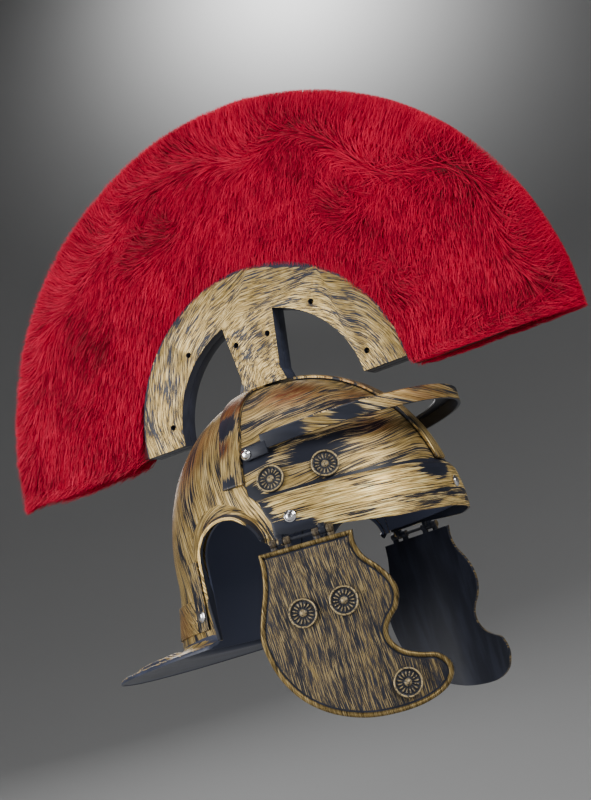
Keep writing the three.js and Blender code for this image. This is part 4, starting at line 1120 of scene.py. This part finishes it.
def cheek_plate():
    """The plate as one closed section: inner face, edge, rolled border, groove and outer face."""
    curve = through([(s * CHEEK_LENGTH, -t * CHEEK_HEIGHT) for s, t in CHEEK_OUTLINE], 260)
    top = np.column_stack([np.linspace(0, CHEEK_LENGTH, 61), np.zeros(61)])[1:-1]
    outline = np.vstack([curve, top])
    after = np.roll(outline, -1, axis=0) - outline
    before = outline - np.roll(outline, 1, axis=0)
    after /= np.linalg.norm(after, axis=1, keepdims=True)
    before /= np.linalg.norm(before, axis=1, keepdims=True)
    along = sum(np.roll(after + before, shift, axis=0) for shift in range(-5, 6))
    along /= np.linalg.norm(along, axis=1, keepdims=True)
    inward = np.column_stack([along[:, 1], -along[:, 0]])
    middle = np.array([CHEEK_MIDDLE[0] * CHEEK_LENGTH, -CHEEK_MIDDLE[1] * CHEEK_HEIGHT])
    if np.sum(inward * (middle - outline)) < 0:
        inward = -inward
    count = len(outline)
    steps = [(0.4, -CHEEK_WALL, share) for share in np.linspace(1, 0, 13)]
    steps += [(0.0, 0.4 - CHEEK_WALL, 0)]
    steps += [(distance, lift, 0) for distance, lift in BORDER_ROWS]
    steps += [(BORDER_ROWS[-1][0], 0.0, share) for share in np.linspace(0, 1, 27)[1:]]
    steps = np.array(steps)

    def place(u, v):
        column = np.round(u * count).astype(int) % count
        distance, lift, share = steps[np.round(v * (len(steps) - 1)).astype(int)].T
        flat = outline[column] + inward[column] * distance[:, None]
        flat = flat + (middle - flat) * share[:, None]
        return on_cheek(flat[:, 0], flat[:, 1], lift - cheek_bend(flat[:, 0], -flat[:, 1]))
    plate = form("cheek_guard_right", count, len(steps) - 1, place)
    return outwards(merged(plate))


def rod(start, end, radius, sides=28):
    """A round bar between two places, with rounded ends."""
    start, end = np.asarray(start, float), np.asarray(end, float)
    deselect()
    bpy.ops.mesh.primitive_cylinder_add(vertices=sides, radius=radius * MM,
                                        depth=float(np.linalg.norm(end - start)) * MM)
    piece = bpy.context.object
    turn = Vector((0, 0, 1)).rotation_difference(Vector(end - start)).to_matrix()
    points = points_of(piece) @ np.array(turn).T + (start + end) / 2
    set_points(piece, points)
    return bevelled(piece, 0.8, 2)


def knuckle(low, high):
    """A round of the hinge between two places along it."""
    ends = [on_cheek(along, HINGE_Z, -CHEEK_WALL / 2) for along in (low, high)]
    return rod(*ends, KNUCKLE_RADIUS)


def plank(low, high):
    """A bar in the hinge's frame between two corners, with rounded edges."""
    deselect()
    bpy.ops.mesh.primitive_cube_add(size=1)
    piece = bpy.context.object
    low, high = np.asarray(low, float), np.asarray(high, float)
    cube = points_of(piece) * MM
    spot = (low + high) / 2 + cube * (high - low)
    set_points(piece, on_cheek(spot[:, 0], spot[:, 1], spot[:, 2]))
    outwards(piece)
    return bevelled(piece, 0.8, 2)


def cheek_knuckles():
    """Two pairs of rounds along the plate's top, each on its own leaf."""
    pieces = []
    for share in KNUCKLES:
        for side in (-1, 1):
            middle = share * CHEEK_LENGTH + side * (KNUCKLE_LENGTH + GAP)
            low, high = middle - KNUCKLE_LENGTH / 2, middle + KNUCKLE_LENGTH / 2
            pieces += [knuckle(low, high), plank((low, -0.8, -CHEEK_WALL), (high, HINGE_Z - 0.8, 0))]
    return pieces


def brow_lugs():
    """The rounds between those pairs, each on an arm to the brow band's foot."""
    pieces = []
    for share in KNUCKLES:
        middle = share * CHEEK_LENGTH
        low, high = middle - KNUCKLE_LENGTH / 2, middle + KNUCKLE_LENGTH / 2
        at = on_cheek(middle, HINGE_Z, -CHEEK_WALL / 2)
        wall = float(skull_side(at[1], EQUATOR, BROW_SIDE - BROW_WALL / 2))
        reach = (abs(at[0]) - wall) / math.cos(HINGE_TOE) + 1.2
        rise = BROW_FOOT + CHEEK_TOP - HINGE_Z + 1.6
        foot, out = HINGE_Z - 0.2, 1.2 - CHEEK_WALL / 2
        pieces += [knuckle(low, high), plank((low, foot, out - reach), (high, foot + rise, out))]
    return pieces


class HELMET_OT_cheeks(bpy.types.Operator):
    """Builds the cheek guards with their knuckles, and the lugs under the brow band"""
    bl_idname = "helmet.cheeks"
    bl_label = "Cheek guards"

    def execute(self, context):
        plate = joined("cheek_guard_right", [cheek_plate(), *cheek_knuckles()])
        smooth(plate, 38)

        def hinge_map(points, middles):
            local = points - CORNER
            return local[:, 2], local @ ALONG
        draw_map(plate, hinge_map)
        middles, normals = faces_of(plate)
        knuckles = middles[:, 2] > CORNER[2] - 0.4
        mark(plate, "painted", (normals @ OUT > -0.1) * np.where(knuckles, 0.35, 1.0))
        local = points_of(plate) - CORNER
        lift = local @ OUT + cheek_bend(local @ ALONG, -local[:, 2])
        mark(plate, "high", np.clip(lift / 0.8, 0, 1) - 3 * (np.abs(lift - GROOVE) < 0.02), "POINT")
        gold = gold_over_plastic("gold_cheek_guard", turn=math.radians(3), long=20, fine=0.62, cover=0.44,
                                 soft=0.05, seed=10, swirl=7, tone=0.48, grain=0.26, patchy=0.14)
        settle(plate, "cheek_right", "brushed_gold", gold, "cheek_guard_right")
        other = mirror_of(plate, "cheek_guard_left_plate")
        settle(other, "cheek_left", "brushed_gold", gold, "cheek_guard_left")

        lugs = smooth(joined("brow_lugs_right", brow_lugs()), 38)
        draw_map(lugs, hinge_map)
        mark(lugs, "painted", np.ones(len(lugs.data.polygons)))
        dark = gold_over_plastic("gold_hinge_lugs", long=6, fine=0.8, cover=0.35, seed=11)
        for piece in (lugs, mirror_of(lugs, "brow_lugs_left")):
            settle(piece, "shell", "brushed_gold", dark, "brow_band")
        return {"FINISHED"}


# Rosettes and rivets
# Rows of a rosette's section from its foot to its boss: share of its radius, and share of its height
ROSETTE_ROWS = ((1.0, 0.0), (1.0, 0.7), (0.985, 0.88), (0.95, 1.0), (0.91, 1.0), (0.88, 0.86), (0.865, 0.6),
                (0.85, 0.3), (0.82, 0.24), (0.78, 0.24), (0.72, 0.24), (0.66, 0.24), (0.6, 0.24),
                (0.54, 0.24), (0.48, 0.24), (0.42, 0.24), (0.36, 0.24), (0.31, 0.24), (0.27, 0.28),
                (0.24, 0.55), (0.20, 0.74), (0.14, 0.8), (0.08, 0.95), (0.0, 1.0))
# The same for the dome of a rivet
RIVET_ROWS = ((1.0, 0.0), (1.0, 0.18), (0.95, 0.26), (0.86, 0.32), (0.80, 0.46), (0.68, 0.72), (0.5, 0.9),
              (0.28, 0.98), (0.0, 1.0))


def rows_at(rows, v):
    """Both columns of a section's table, with v from 0 at its first row to 1 at its last."""
    return np.array(rows)[np.round(v * (len(rows) - 1)).astype(int)].T


def rosette(name):
    """A rim, a sunk face with petals and a boss, about the origin with its face towards +Z."""
    def place(u, v):
        radius, height = rows_at(ROSETTE_ROWS, v)
        turn = 2 * PI * u
        beat = np.abs(((u * PETALS) % 1) - 0.5) * 2
        span = np.clip((radius - 0.30) / 0.50, 0, 1)
        length = np.sin(PI * np.clip(span, 0, 1)) ** 0.55
        breadth = 0.80 * (0.35 + 0.65 * span ** 0.8)
        petal = np.sqrt(np.clip(1 - (beat / np.maximum(breadth * length, 1e-3)) ** 2, 0, None)) * length
        height = height + 0.42 * petal * (span > 0) * (span < 1)
        reach = radius * ROSETTE_RADIUS
        return np.column_stack([reach * np.cos(turn), reach * np.sin(turn), height * ROSETTE_HEIGHT])
    piece = merged(form(name, PETALS * 8, len(ROSETTE_ROWS) - 1, place, always(0, 0, 1)))
    points = points_of(piece)
    radius = np.hypot(points[:, 0], points[:, 1]) / ROSETTE_RADIUS
    height = points[:, 2] / ROSETTE_HEIGHT
    high = np.where(radius > 0.85, (height > 0.8) * 0.75, (height > 0.5) * 0.5)
    mark(piece, "high", high, "POINT")
    return smooth(piece, 60)


def stand(piece, at, ahead):
    """Sets a piece made about the origin on a place, with its +Z towards a direction."""
    turn = Vector((0, 0, 1)).rotation_difference(Vector(ahead)).to_matrix()
    set_points(piece, points_of(piece) @ np.array(turn).T + np.asarray(at, float))
    return piece


def skull_seat(side, y, z, grow):
    """A place on the skull's side, and the way out of it."""
    step = 1.0
    by_y = float(skull_side(y + step, z, grow) - skull_side(y - step, z, grow)) / (2 * step)
    by_z = float(skull_side(y, z + step, grow) - skull_side(y, z - step, grow)) / (2 * step)
    ahead = np.array([side, -by_y, -by_z])
    return np.array([side * float(skull_side(y, z, grow)), y, z]), ahead / np.linalg.norm(ahead)


def cheek_seat(side, along, down):
    """A place on a cheek guard's outer face, and the way out of it."""
    slope = 2 * CHEEK_WRAP * max(along - CHEEK_WRAP_START, 0)
    normal = np.array([slope, -CHEEK_LEAN, 1.0])
    normal /= np.linalg.norm(normal)
    lift = -float(cheek_bend(along, down))
    at = on_cheek(along + GAP * normal[0], -down + GAP * normal[1], lift + GAP * normal[2])
    ahead = ALONG * normal[0] + np.array([0, 0, 1]) * normal[1] + OUT * normal[2]
    flip = np.array([-side, 1, 1])
    return at * flip, ahead * flip


def brow_seat(angle):
    """A place on the middle of the brow band, and the way out of it."""
    def at(turn):
        return on_skull(np.array(turn), np.array(BROW_MIDDLE), brow_proud(np.array(turn)) + BROW_SWELL + GAP)
    along = at(angle + 0.02) - at(angle - 0.02)
    ahead = np.array([along[1], -along[0], 0])
    return at(angle), ahead / np.linalg.norm(ahead)


def rivet(name, radius, height, shank=0.0):
    """A domed head with a thin rim, and a shank where it stands off the skull."""
    def place(u, v):
        reach, level = rows_at(RIVET_ROWS, v)
        return np.column_stack([radius * reach * np.cos(2 * PI * u), radius * reach * np.sin(2 * PI * u),
                                level * height])
    piece = closed(form(name, 40, len(RIVET_ROWS) - 1, place, always(0, 0, 1)))
    if shank:
        piece = joined(name, [piece, rod((0, 0, -shank), (0, 0, 0.2), 1.5, 20)])
    return smooth(piece, 40)


class HELMET_OT_fittings(bpy.types.Operator):
    """Builds the rosettes and the rivets"""
    bl_idname = "helmet.fittings"
    bl_label = "Rosettes and rivets"

    def execute(self, context):
        plastic = dark_plastic()
        plating = chrome()
        pattern = rosette("pattern")
        rivets = []
        for word, side in (("right", -1), ("left", 1)):
            seats = []
            for where, forward in BOWL_ROSETTES:
                place = skull_seat(side, -forward * FRONT_REACH, ROSETTE_LEVEL, GAP)
                seats.append((f"bowl_rosette_{word}_{where}", "shell", place))
            for where, along, down in CHEEK_ROSETTES:
                place = cheek_seat(side, along * CHEEK_LENGTH, down * CHEEK_HEIGHT)
                seats.append((f"cheek_rosette_{word}_{where}", f"cheek_{word}", place))
            for node, body, seat in seats:
                piece = stand(copy_of(pattern, f"{node}_petals"), *seat)
                settle(piece, body, "dark_plastic", plastic, node)
            brow = brow_seat(PI + BROW_RIVET_TURN if side < 0 else -BROW_RIVET_TURN)
            strip_middle = EAR_REAR + STRIP_OFFSET + (STRIP_WIDTH + STRIP_SLANT) / 2
            neck = skull_seat(side, strip_middle, EQUATOR - NECK_RIVET_DROP, GAP * 2 + STRIP_RISE)
            level = EQUATOR + PEAK_PIVOT_Z
            head = peak_half_width() - PEAK_WALL + PEAK_TAB_WALL + GAP
            reach = head - float(skull_side(-PEAK_PIVOT_Y, level)) - GAP
            pivot = np.array([side * head, -PEAK_PIVOT_Y, level]), np.array([side, 0, 0])
            plain, pin = (RIVET_RADIUS, RIVET_HEIGHT), (RIVET_RADIUS * 0.9, RIVET_HEIGHT * 1.3, reach)
            rivets += [(f"brow_rivet_{word}", brow, plain), (f"neck_rivet_{word}", neck, plain),
                       (f"peak_rivet_{word}", pivot, pin)]
        rivets.append(("brow_rivet_front", brow_seat(-PI / 2), (RIVET_RADIUS, RIVET_HEIGHT)))
        for node, seat, size in rivets:
            piece = stand(rivet(f"{node}_dome", *size), *seat)
            settle(piece, "shell", "rivet_chrome", plating, node)
        bpy.data.objects.remove(pattern)
        for word in ("right", "left"):
            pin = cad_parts[f"hinge_pin_{word}"]
            for slot in pin.material_slots:
                slot.material = plastic
        return {"FINISHED"}


# The crest
def arch_outline():
    """The arch's outer line from rear to front, and its inner line back."""
    def along(radius, share):
        end = PI - math.asin(ARCH_FRONT_CUT / radius)
        return radius * math.cos(end * share), radius * math.sin(end * share) - ARCH_CENTRE
    shares = np.linspace(0, 1, 96)
    outer = [along(ARCH_RADIUS, share) for share in shares]
    return outer + [along(ARCH_INNER, 1 - share) for share in shares]


def post_outline():
    """The post under the arch, with its flared foot."""
    foot = WALL + BAND_RISE + GAP - 6
    neck = foot + 6 + FOOT_HEIGHT
    front = [(-POST_FRONT[0], POST_TOP), (-POST_FRONT[1], neck), (-POST_FRONT[1] - FOOT_FLARE * 0.6, foot)]
    rear = [(POST_REAR[1] + FOOT_FLARE, foot), (POST_REAR[1], neck), (POST_REAR[0], POST_TOP)]
    return (front + rear)[::-1]


def screw_places():
    """Four holes round the arch and two at the top of the post."""
    radius = ARCH_INNER + SCREW_INSET
    turns = [math.radians(degrees) for degrees in ARCH_SCREWS]
    level = (ARCH_INNER - ARCH_CENTRE) * 0.675
    return [*((radius * math.cos(a), radius * math.sin(a) - ARCH_CENTRE) for a in turns),
            (POST_REAR[0] * 0.63, level), (-POST_FRONT[0] * 0.63 * 0.85, level)]


def holder_half():
    """Arch and post in one, cut to the skull below and with its screw holes."""
    half = slab("crest_holder_half", arch_outline(), -HOLDER_DEPTH, -GAP / 2)
    carved(half, slab("post", post_outline(), -HOLDER_DEPTH, -GAP / 2), "UNION")
    carved(half, skull_block(GAP * 2 + BAND_RISE, BLOCK_FOOT))
    turns = np.linspace(0, 2 * PI, 25)[:-1]
    for y, z in screw_places():
        hole = [(y + SCREW_RADIUS * math.cos(a), z + SCREW_RADIUS * math.sin(a)) for a in turns]
        carved(half, slab("hole", hole, -HOLDER_DEPTH - 2, -HOLDER_DEPTH + 6))
    return half


class HELMET_OT_holder(bpy.types.Operator):
    """Builds both halves of the crest holder"""
    bl_idname = "helmet.holder"
    bl_label = "Crest holder"

    def execute(self, context):
        half = smooth(bevelled(holder_half(), 1.5, 2, 50), 35)

        def arch_map(points, middles):
            y, z = points[:, 1], points[:, 2] + ARCH_CENTRE
            return 92 * np.arctan2(z, -y) + 0.5 * points[:, 0], np.hypot(y, z) + 0.2 * points[:, 0]
        draw_map(half, arch_map)
        mark_painted(half, always(-1.0, 0, 0), 0.2)
        # The plastic here is painted twice as light, as painted light on the arch's shaded edge faces
        gold = gold_over_plastic("gold_crest_holder", turn=math.radians(14), long=18, fine=0.95, cover=0.58,
                                 bands=((ARCH_RADIUS - 2, ARCH_RADIUS + 9, 0.14),), seed=12, swirl=2,
                                 tone=0.80, bare_painted_light=2.0, grain=0.30)
        settle(half, "shell", "brushed_gold", gold, "crest_holder_right")
        other = mirror_of(half, "crest_holder_other_half")
        settle(other, "shell", "brushed_gold", gold, "crest_holder_left")
        return {"FINISHED"}


# The fur
FUR_START = ARCH_RADIUS + 0.6
FUR_REACH = 112.0
FUR_INNER = FUR_REACH - 4
FUR_PARTS = 6
# How far the fur hangs below the ends of the fan; the raised peak passes under the front one
FRINGE_FRONT = 1.5
FRINGE_REAR = 8.0
# The way that the fur hangs, straight down in the photograph
HANG = np.array([0, 0.30, -0.95])
# Where the fur parts, which turns its locks about and darkens them as painted shade: place, radius and depth
PARTINGS = (((62, 138), 14, 0.45), ((40, 142), 11, 0.35), ((80, 128), 10, 0.3), ((128, 98), 22, 0.2),
            ((-96, 108), 18, 0.3), ((-118, 40), 20, 0.22), ((150, 40), 20, 0.22))


def fan_half(share):
    """Half the fan's thickness, by how far out it is."""
    swell = 0.72 + 0.28 * np.clip(share / 0.15, 0, 1)
    return PLUME_HALF * swell * np.sqrt(np.clip(1 - (share * 0.97) ** 4, 0, 1))


def fan_backing():
    """A closed fan a little inside the fur's outline."""
    def place(u, v):
        angle = PI * (0.004 + 0.992 * u)
        turn = 2 * PI * v
        share = 0.5 - 0.5 * np.cos(turn)
        side = np.where(v < 0.5, -1, 1)
        radius = FUR_START + FUR_INNER * share
        half = (fan_half(share) - 3.0) * side * (share > 0) * (share < 1)
        return np.column_stack([half, -radius * np.cos(angle), radius * np.sin(angle) - ARCH_CENTRE])
    return smooth(closed(form("fur_backing", 120, 40, place)), 70)


def parted(y, z):
    """How far the fur opens at a place, as a negative depth."""
    opening = 0
    for (at_y, at_z), radius, depth in PARTINGS:
        opening = opening - depth * np.exp(-((y - at_y) ** 2 + (z - at_z) ** 2) / radius ** 2)
    return opening


def drift(y, z, scale, phase):
    """A smooth wandering value between about -1 and 1 over the crest's side."""
    a = np.sin(y / scale + phase) + np.sin(z / (scale * 0.83) + 1.7 * phase)
    b = np.sin((y + z) / (scale * 1.31) + 2.3 * phase) + np.sin((y - 0.6 * z) / (scale * 0.57) + 0.9 * phase)
    return (a + b) / 4


def fur_roots(part, count, rng):
    """Roots on both sides and the outer edge of one part of the fan, with the way out of each."""
    low, high = part / FUR_PARTS, (part + 1) / FUR_PARTS
    angle = PI * (low + (high - low) * rng.random(count))
    edge = rng.random(count) < 0.16
    outer = 0.93 + 0.07 * rng.random(count)
    share = np.where(edge, outer, np.sqrt(0.18 + 0.82 * rng.random(count)) * 1.12 - 0.47)
    share = np.clip(share / 0.65, 0.0, 1.0)
    side = np.where(rng.random(count) < 0.5, -1.0, 1.0)
    half = fan_half(share) - 3.2
    flat = np.where(edge, rng.random(count) * 2 - 1, side)
    radius = FUR_START + FUR_INNER * share
    radial = np.column_stack([0 * angle, -np.cos(angle), np.sin(angle)])
    roots = radial * radius[:, None] + np.column_stack([flat * half, 0 * angle, -ARCH_CENTRE + 0 * angle])
    away = np.column_stack([np.where(edge, 0.35 * flat, flat), 0 * angle, 0 * angle])
    return roots, away, radial, share, angle


def clumps(y, z, size, seed):
    """The middle of the clump that each root belongs to, and the clump's tone."""
    table = np.random.default_rng(seed).random((97, 89, 3))
    column = np.floor(y / size).astype(int)
    row = np.floor(z / size).astype(int)
    jitter = table[column % 97, row % 89]
    return (column + jitter[:, 0]) * size, (row + jitter[:, 1]) * size, jitter[:, 2]


def locks_mesh(name, points, count):
    """Locks of five points each: a four-sided face at the root and a three-sided one at the tip."""
    start = np.arange(count)[:, None]
    corners = np.hstack([start * 5 + [0, 1, 3, 2], start * 5 + [2, 3, 4]]).ravel()
    starts = (start * 7 + [0, 4]).ravel()
    mesh = bpy.data.meshes.new(name)
    mesh.vertices.add(len(points))
    mesh.vertices.foreach_set("co", (points * MM).ravel())
    mesh.loops.add(len(corners))
    mesh.loops.foreach_set("vertex_index", corners.astype(np.int32))
    mesh.polygons.add(len(starts))
    mesh.polygons.foreach_set("loop_start", starts.astype(np.int32))
    mesh.update(calc_edges=True)
    piece = bpy.data.objects.new(name, mesh)
    bpy.context.scene.collection.objects.link(piece)
    return piece


def fur_part(name, part, sizes):
    """Tapered locks that hang on the sides and stand out at the edge; along and tone drive their colour."""
    rng = np.random.default_rng(sizes.seed + part)
    count = sizes.fur_locks
    roots, away, radial, share, angle = fur_roots(part, count, rng)
    y, z = roots[:, 1], roots[:, 2]
    radius = FUR_START + FUR_INNER * share
    height = radius * np.sin(angle)
    tuft = drift(y, z, 9, 0.4) * 0.5 + drift(y, z, 23, 1.1) * 0.5
    sideways = np.column_stack([0 * angle, np.sin(angle), np.cos(angle)])
    outer = np.clip((share - 0.66 - 0.22 * (1 - np.sin(angle)) - 0.14 * drift(y, z, 19, 5.0)) / 0.30, 0, 1)
    swirled = np.clip(-parted(y, z) * 2.2, 0, 1)
    stands = np.clip(outer + 0.7 * swirled + 0.14, 0, 1)
    stands = np.maximum(stands, 0.9 - np.clip(height / 24, 0, 0.9))
    wander = 0.30 * tuft + 0.16 * rng.standard_normal(count) + 0.8 * swirled * drift(y, z, 6, 4.0)
    wander = wander + 1.2 * stands * (1 - stands)
    lean = radial * stands[:, None] + HANG * (1 - stands)[:, None] + sideways * wander[:, None]
    lean /= np.linalg.norm(lean, axis=1, keepdims=True)
    length = sizes.fur_length / MM * (0.7 + 0.4 * rng.random(count)) * (1 + 0.25 * tuft)
    inwards = np.maximum(-np.sum(lean * radial, axis=1), 0.02)
    length = np.minimum(length, (radius - ARCH_RADIUS + 2.5) / inwards)
    length *= 1 + 0.25 * np.clip((share - 0.85) / 0.1, 0, 1)
    rise = np.clip(0.26 + 0.10 * rng.standard_normal(count) + 0.3 * swirled, 0.06, 0.8)
    first = away * rise[:, None] + lean
    first /= np.linalg.norm(first, axis=1, keepdims=True)
    bent = lean - away * 0.18
    clump_y, clump_z, clump_tone = clumps(y + 1.5 * tuft, z, 5.5, sizes.seed)
    gather = np.column_stack([0 * y, clump_y - y, clump_z - z]) * 0.45
    breadth = np.cross(first, away + 0.45 * rng.standard_normal((count, 3)))
    breadth /= np.maximum(np.linalg.norm(breadth, axis=1, keepdims=True), 1e-6)
    breadth *= sizes.fur_width / MM / 2
    middle = roots + first * (length * 0.5)[:, None] + gather * 0.3
    tip = middle + bent * (length * 0.5)[:, None] + gather * 0.7
    points = np.stack([roots - breadth, roots + breadth, middle - breadth, middle + breadth, tip], axis=1)
    points = points.reshape(-1, 3)
    fringe = np.where(points[:, 1] < 0, FRINGE_FRONT, FRINGE_REAR)
    fringe = fringe * np.repeat(0.5 + 0.5 * rng.random(count), 5)
    points[:, 2] = np.maximum(points[:, 2], -ARCH_CENTRE - fringe)
    reach = np.hypot(points[:, 1], points[:, 2] + ARCH_CENTRE)
    points[:, 1:] *= np.minimum((FUR_START + FUR_REACH + 14) / np.maximum(reach, 1), 1)[:, None]
    piece = locks_mesh(name, points, count)
    tone = 0.56 + 0.14 * rng.standard_normal(count) + 0.35 * (clump_tone - 0.5) + 0.25 * drift(y, z, 17, 3.1)
    # Where the fur parts its locks are darker, as painted shade
    tone = np.clip(tone + parted(y, z), 0, 1)
    mark(piece, "along", np.tile([0, 0, 0.5, 0.5, 1], count), "POINT")
    mark(piece, "tone", np.repeat(tone, 5), "POINT")
    return piece


class HELMET_OT_plume(bpy.types.Operator):
    """Builds the fan of fur on its backing"""
    bl_idname = "helmet.plume"
    bl_label = "Fur crest"

    def execute(self, context):
        settle(fan_backing(), "shell", "crimson_fur", fur_backing(), "crest_plume")
        hair = fur()
        for part in range(FUR_PARTS):
            piece = fur_part(f"fur_part_{part + 1}", part, context.scene.helmet_sizes)
            settle(piece, "shell", "crimson_fur", hair, "crest_plume")
        return {"FINISHED"}


# The stage: a round floor that curves up into a backdrop
FLOOR_RADIUS = 900.0
FLOOR_CURVE = 3400.0
FLOOR_WALL = 3000.0
# Soft lights: name, place, aim, size in millimetres, spread in degrees and power in watts
LIGHTS = (
    ("key", (-700, -1700, 900), (0, 0, 0), 900, 180, 32),
    ("left", (-1400, 900, 150), (0, 40, -10), 1000, 180, 24),
    ("high_left", (-1600, 300, 1100), (0, 60, 80), 900, 180, 3),
    ("low", (-1250, -600, -120), (0, 0, -60), 400, 180, 0.8),
    ("top", (300, 200, 1700), (0, 0, 60), 900, 180, 12),
    ("back", (1300, 1100, 700), (0, 0, 0), 900, 180, 10),
    ("backdrop", (3450, 1220, 2650), (4045, 1427, 2375), 250, 140, 17),
)


def floor_form():
    """A flat disc, a quarter round and a wall, closed at its middle and along its seam."""
    def place(u, v):
        turn = 2 * PI * u
        arc = np.clip((v - 0.2) / 0.6, 0, 1) * PI / 2
        out = FLOOR_RADIUS * np.clip(v / 0.2, 0, 1) + FLOOR_CURVE * np.sin(arc)
        up = FLOOR_CURVE * (1 - np.cos(arc)) + FLOOR_WALL * np.clip((v - 0.8) / 0.2, 0, 1)
        return np.column_stack([out * np.cos(turn), out * np.sin(turn), FLOOR_LEVEL + up])
    floor = form("studio_floor", 96, 80, place, lambda middles: np.array([0, 0, 1]) - middles * 1e-4)
    return smooth(merged(floor), 80)


class HELMET_OT_stage(bpy.types.Operator):
    """Sets the camera, the floor with its backdrop, and the lights"""
    bl_idname = "helmet.stage"
    bl_label = "Stage"

    def execute(self, context):
        scene = context.scene
        data = bpy.data.cameras.new("photo_camera")
        data.lens = CAMERA_LENS
        data.sensor_width = 36
        camera = bpy.data.objects.new("photo_camera", data)
        scene.collection.objects.link(camera)
        turn = Matrix((CAMERA_RIGHT, CAMERA_UP, tuple(-value for value in CAMERA_AHEAD))).transposed()
        camera.matrix_world = Matrix.Translation(Vector(CAMERA_PLACE) * MM) @ turn.to_4x4()
        scene.camera = camera

        floor = floor_form()
        make = Maker("pale_floor")
        cloud = make.noise(make.place(), scale=1.3, detail=2)
        grey = make.blend(cloud, (0.29, 0.29, 0.29), (0.32, 0.32, 0.32))
        floor.data.materials.append(make.set(Base_Color=grey, Roughness=0.75 + cloud * 0.1))

        world = bpy.data.worlds.new("studio")
        world.use_nodes = True
        sky = world.node_tree.nodes["Background"]
        sky.inputs["Color"].default_value = (0.80, 0.82, 0.86, 1)
        sky.inputs["Strength"].default_value = 0.12
        scene.world = world
        for name, at, aim, size, spread, power in LIGHTS:
            lamp = bpy.data.lights.new(name, "AREA")
            lamp.shape = "DISK"
            lamp.size = size * MM
            lamp.spread = math.radians(spread)
            lamp.energy = power
            light = bpy.data.objects.new(name, lamp)
            scene.collection.objects.link(light)
            way = Vector(aim) - Vector(at)
            aimed = way.to_track_quat("-Z", "Y").to_matrix().to_4x4()
            light.matrix_world = Matrix.Translation(Vector(at) * MM) @ aimed
        return {"FINISHED"}


class HELMET_PT_sidebar(bpy.types.Panel):
    """Lists the helmet's builders, sizes and colours"""
    bl_label = "Legionary helmet"
    bl_idname = "HELMET_PT_sidebar"
    bl_space_type = "VIEW_3D"
    bl_region_type = "UI"
    bl_category = "Helmet"

    def draw(self, context):
        column = self.layout.column(align=True)
        for operator in OPERATORS:
            column.operator(operator.bl_idname)
        for group in (context.scene.helmet_sizes, context.scene.helmet_colours):
            for key in group.bl_rna.properties.keys():
                if key not in ("rna_type", "name"):
                    self.layout.prop(group, key)


OPERATORS = (HELMET_OT_stage, HELMET_OT_bowl, HELMET_OT_bands, HELMET_OT_peak, HELMET_OT_cheeks,
             HELMET_OT_fittings, HELMET_OT_holder, HELMET_OT_plume)
CLASSES = (HelmetSizes, HelmetColours, *OPERATORS, HELMET_PT_sidebar)


def register():
    for each in CLASSES:
        bpy.utils.register_class(each)
    bpy.types.Scene.helmet_sizes = bpy.props.PointerProperty(type=HelmetSizes)
    bpy.types.Scene.helmet_colours = bpy.props.PointerProperty(type=HelmetColours)


def unregister():
    del bpy.types.Scene.helmet_colours
    del bpy.types.Scene.helmet_sizes
    for each in reversed(CLASSES):
        bpy.utils.unregister_class(each)


def main():
    register()
    bpy.ops.helmet.stage()
    bpy.ops.helmet.bowl()
    bpy.ops.helmet.bands()
    bpy.ops.helmet.peak()
    bpy.ops.helmet.cheeks()
    bpy.ops.helmet.fittings()
    bpy.ops.helmet.holder()
    bpy.ops.helmet.plume()


if __name__ == "__main__":
    main()
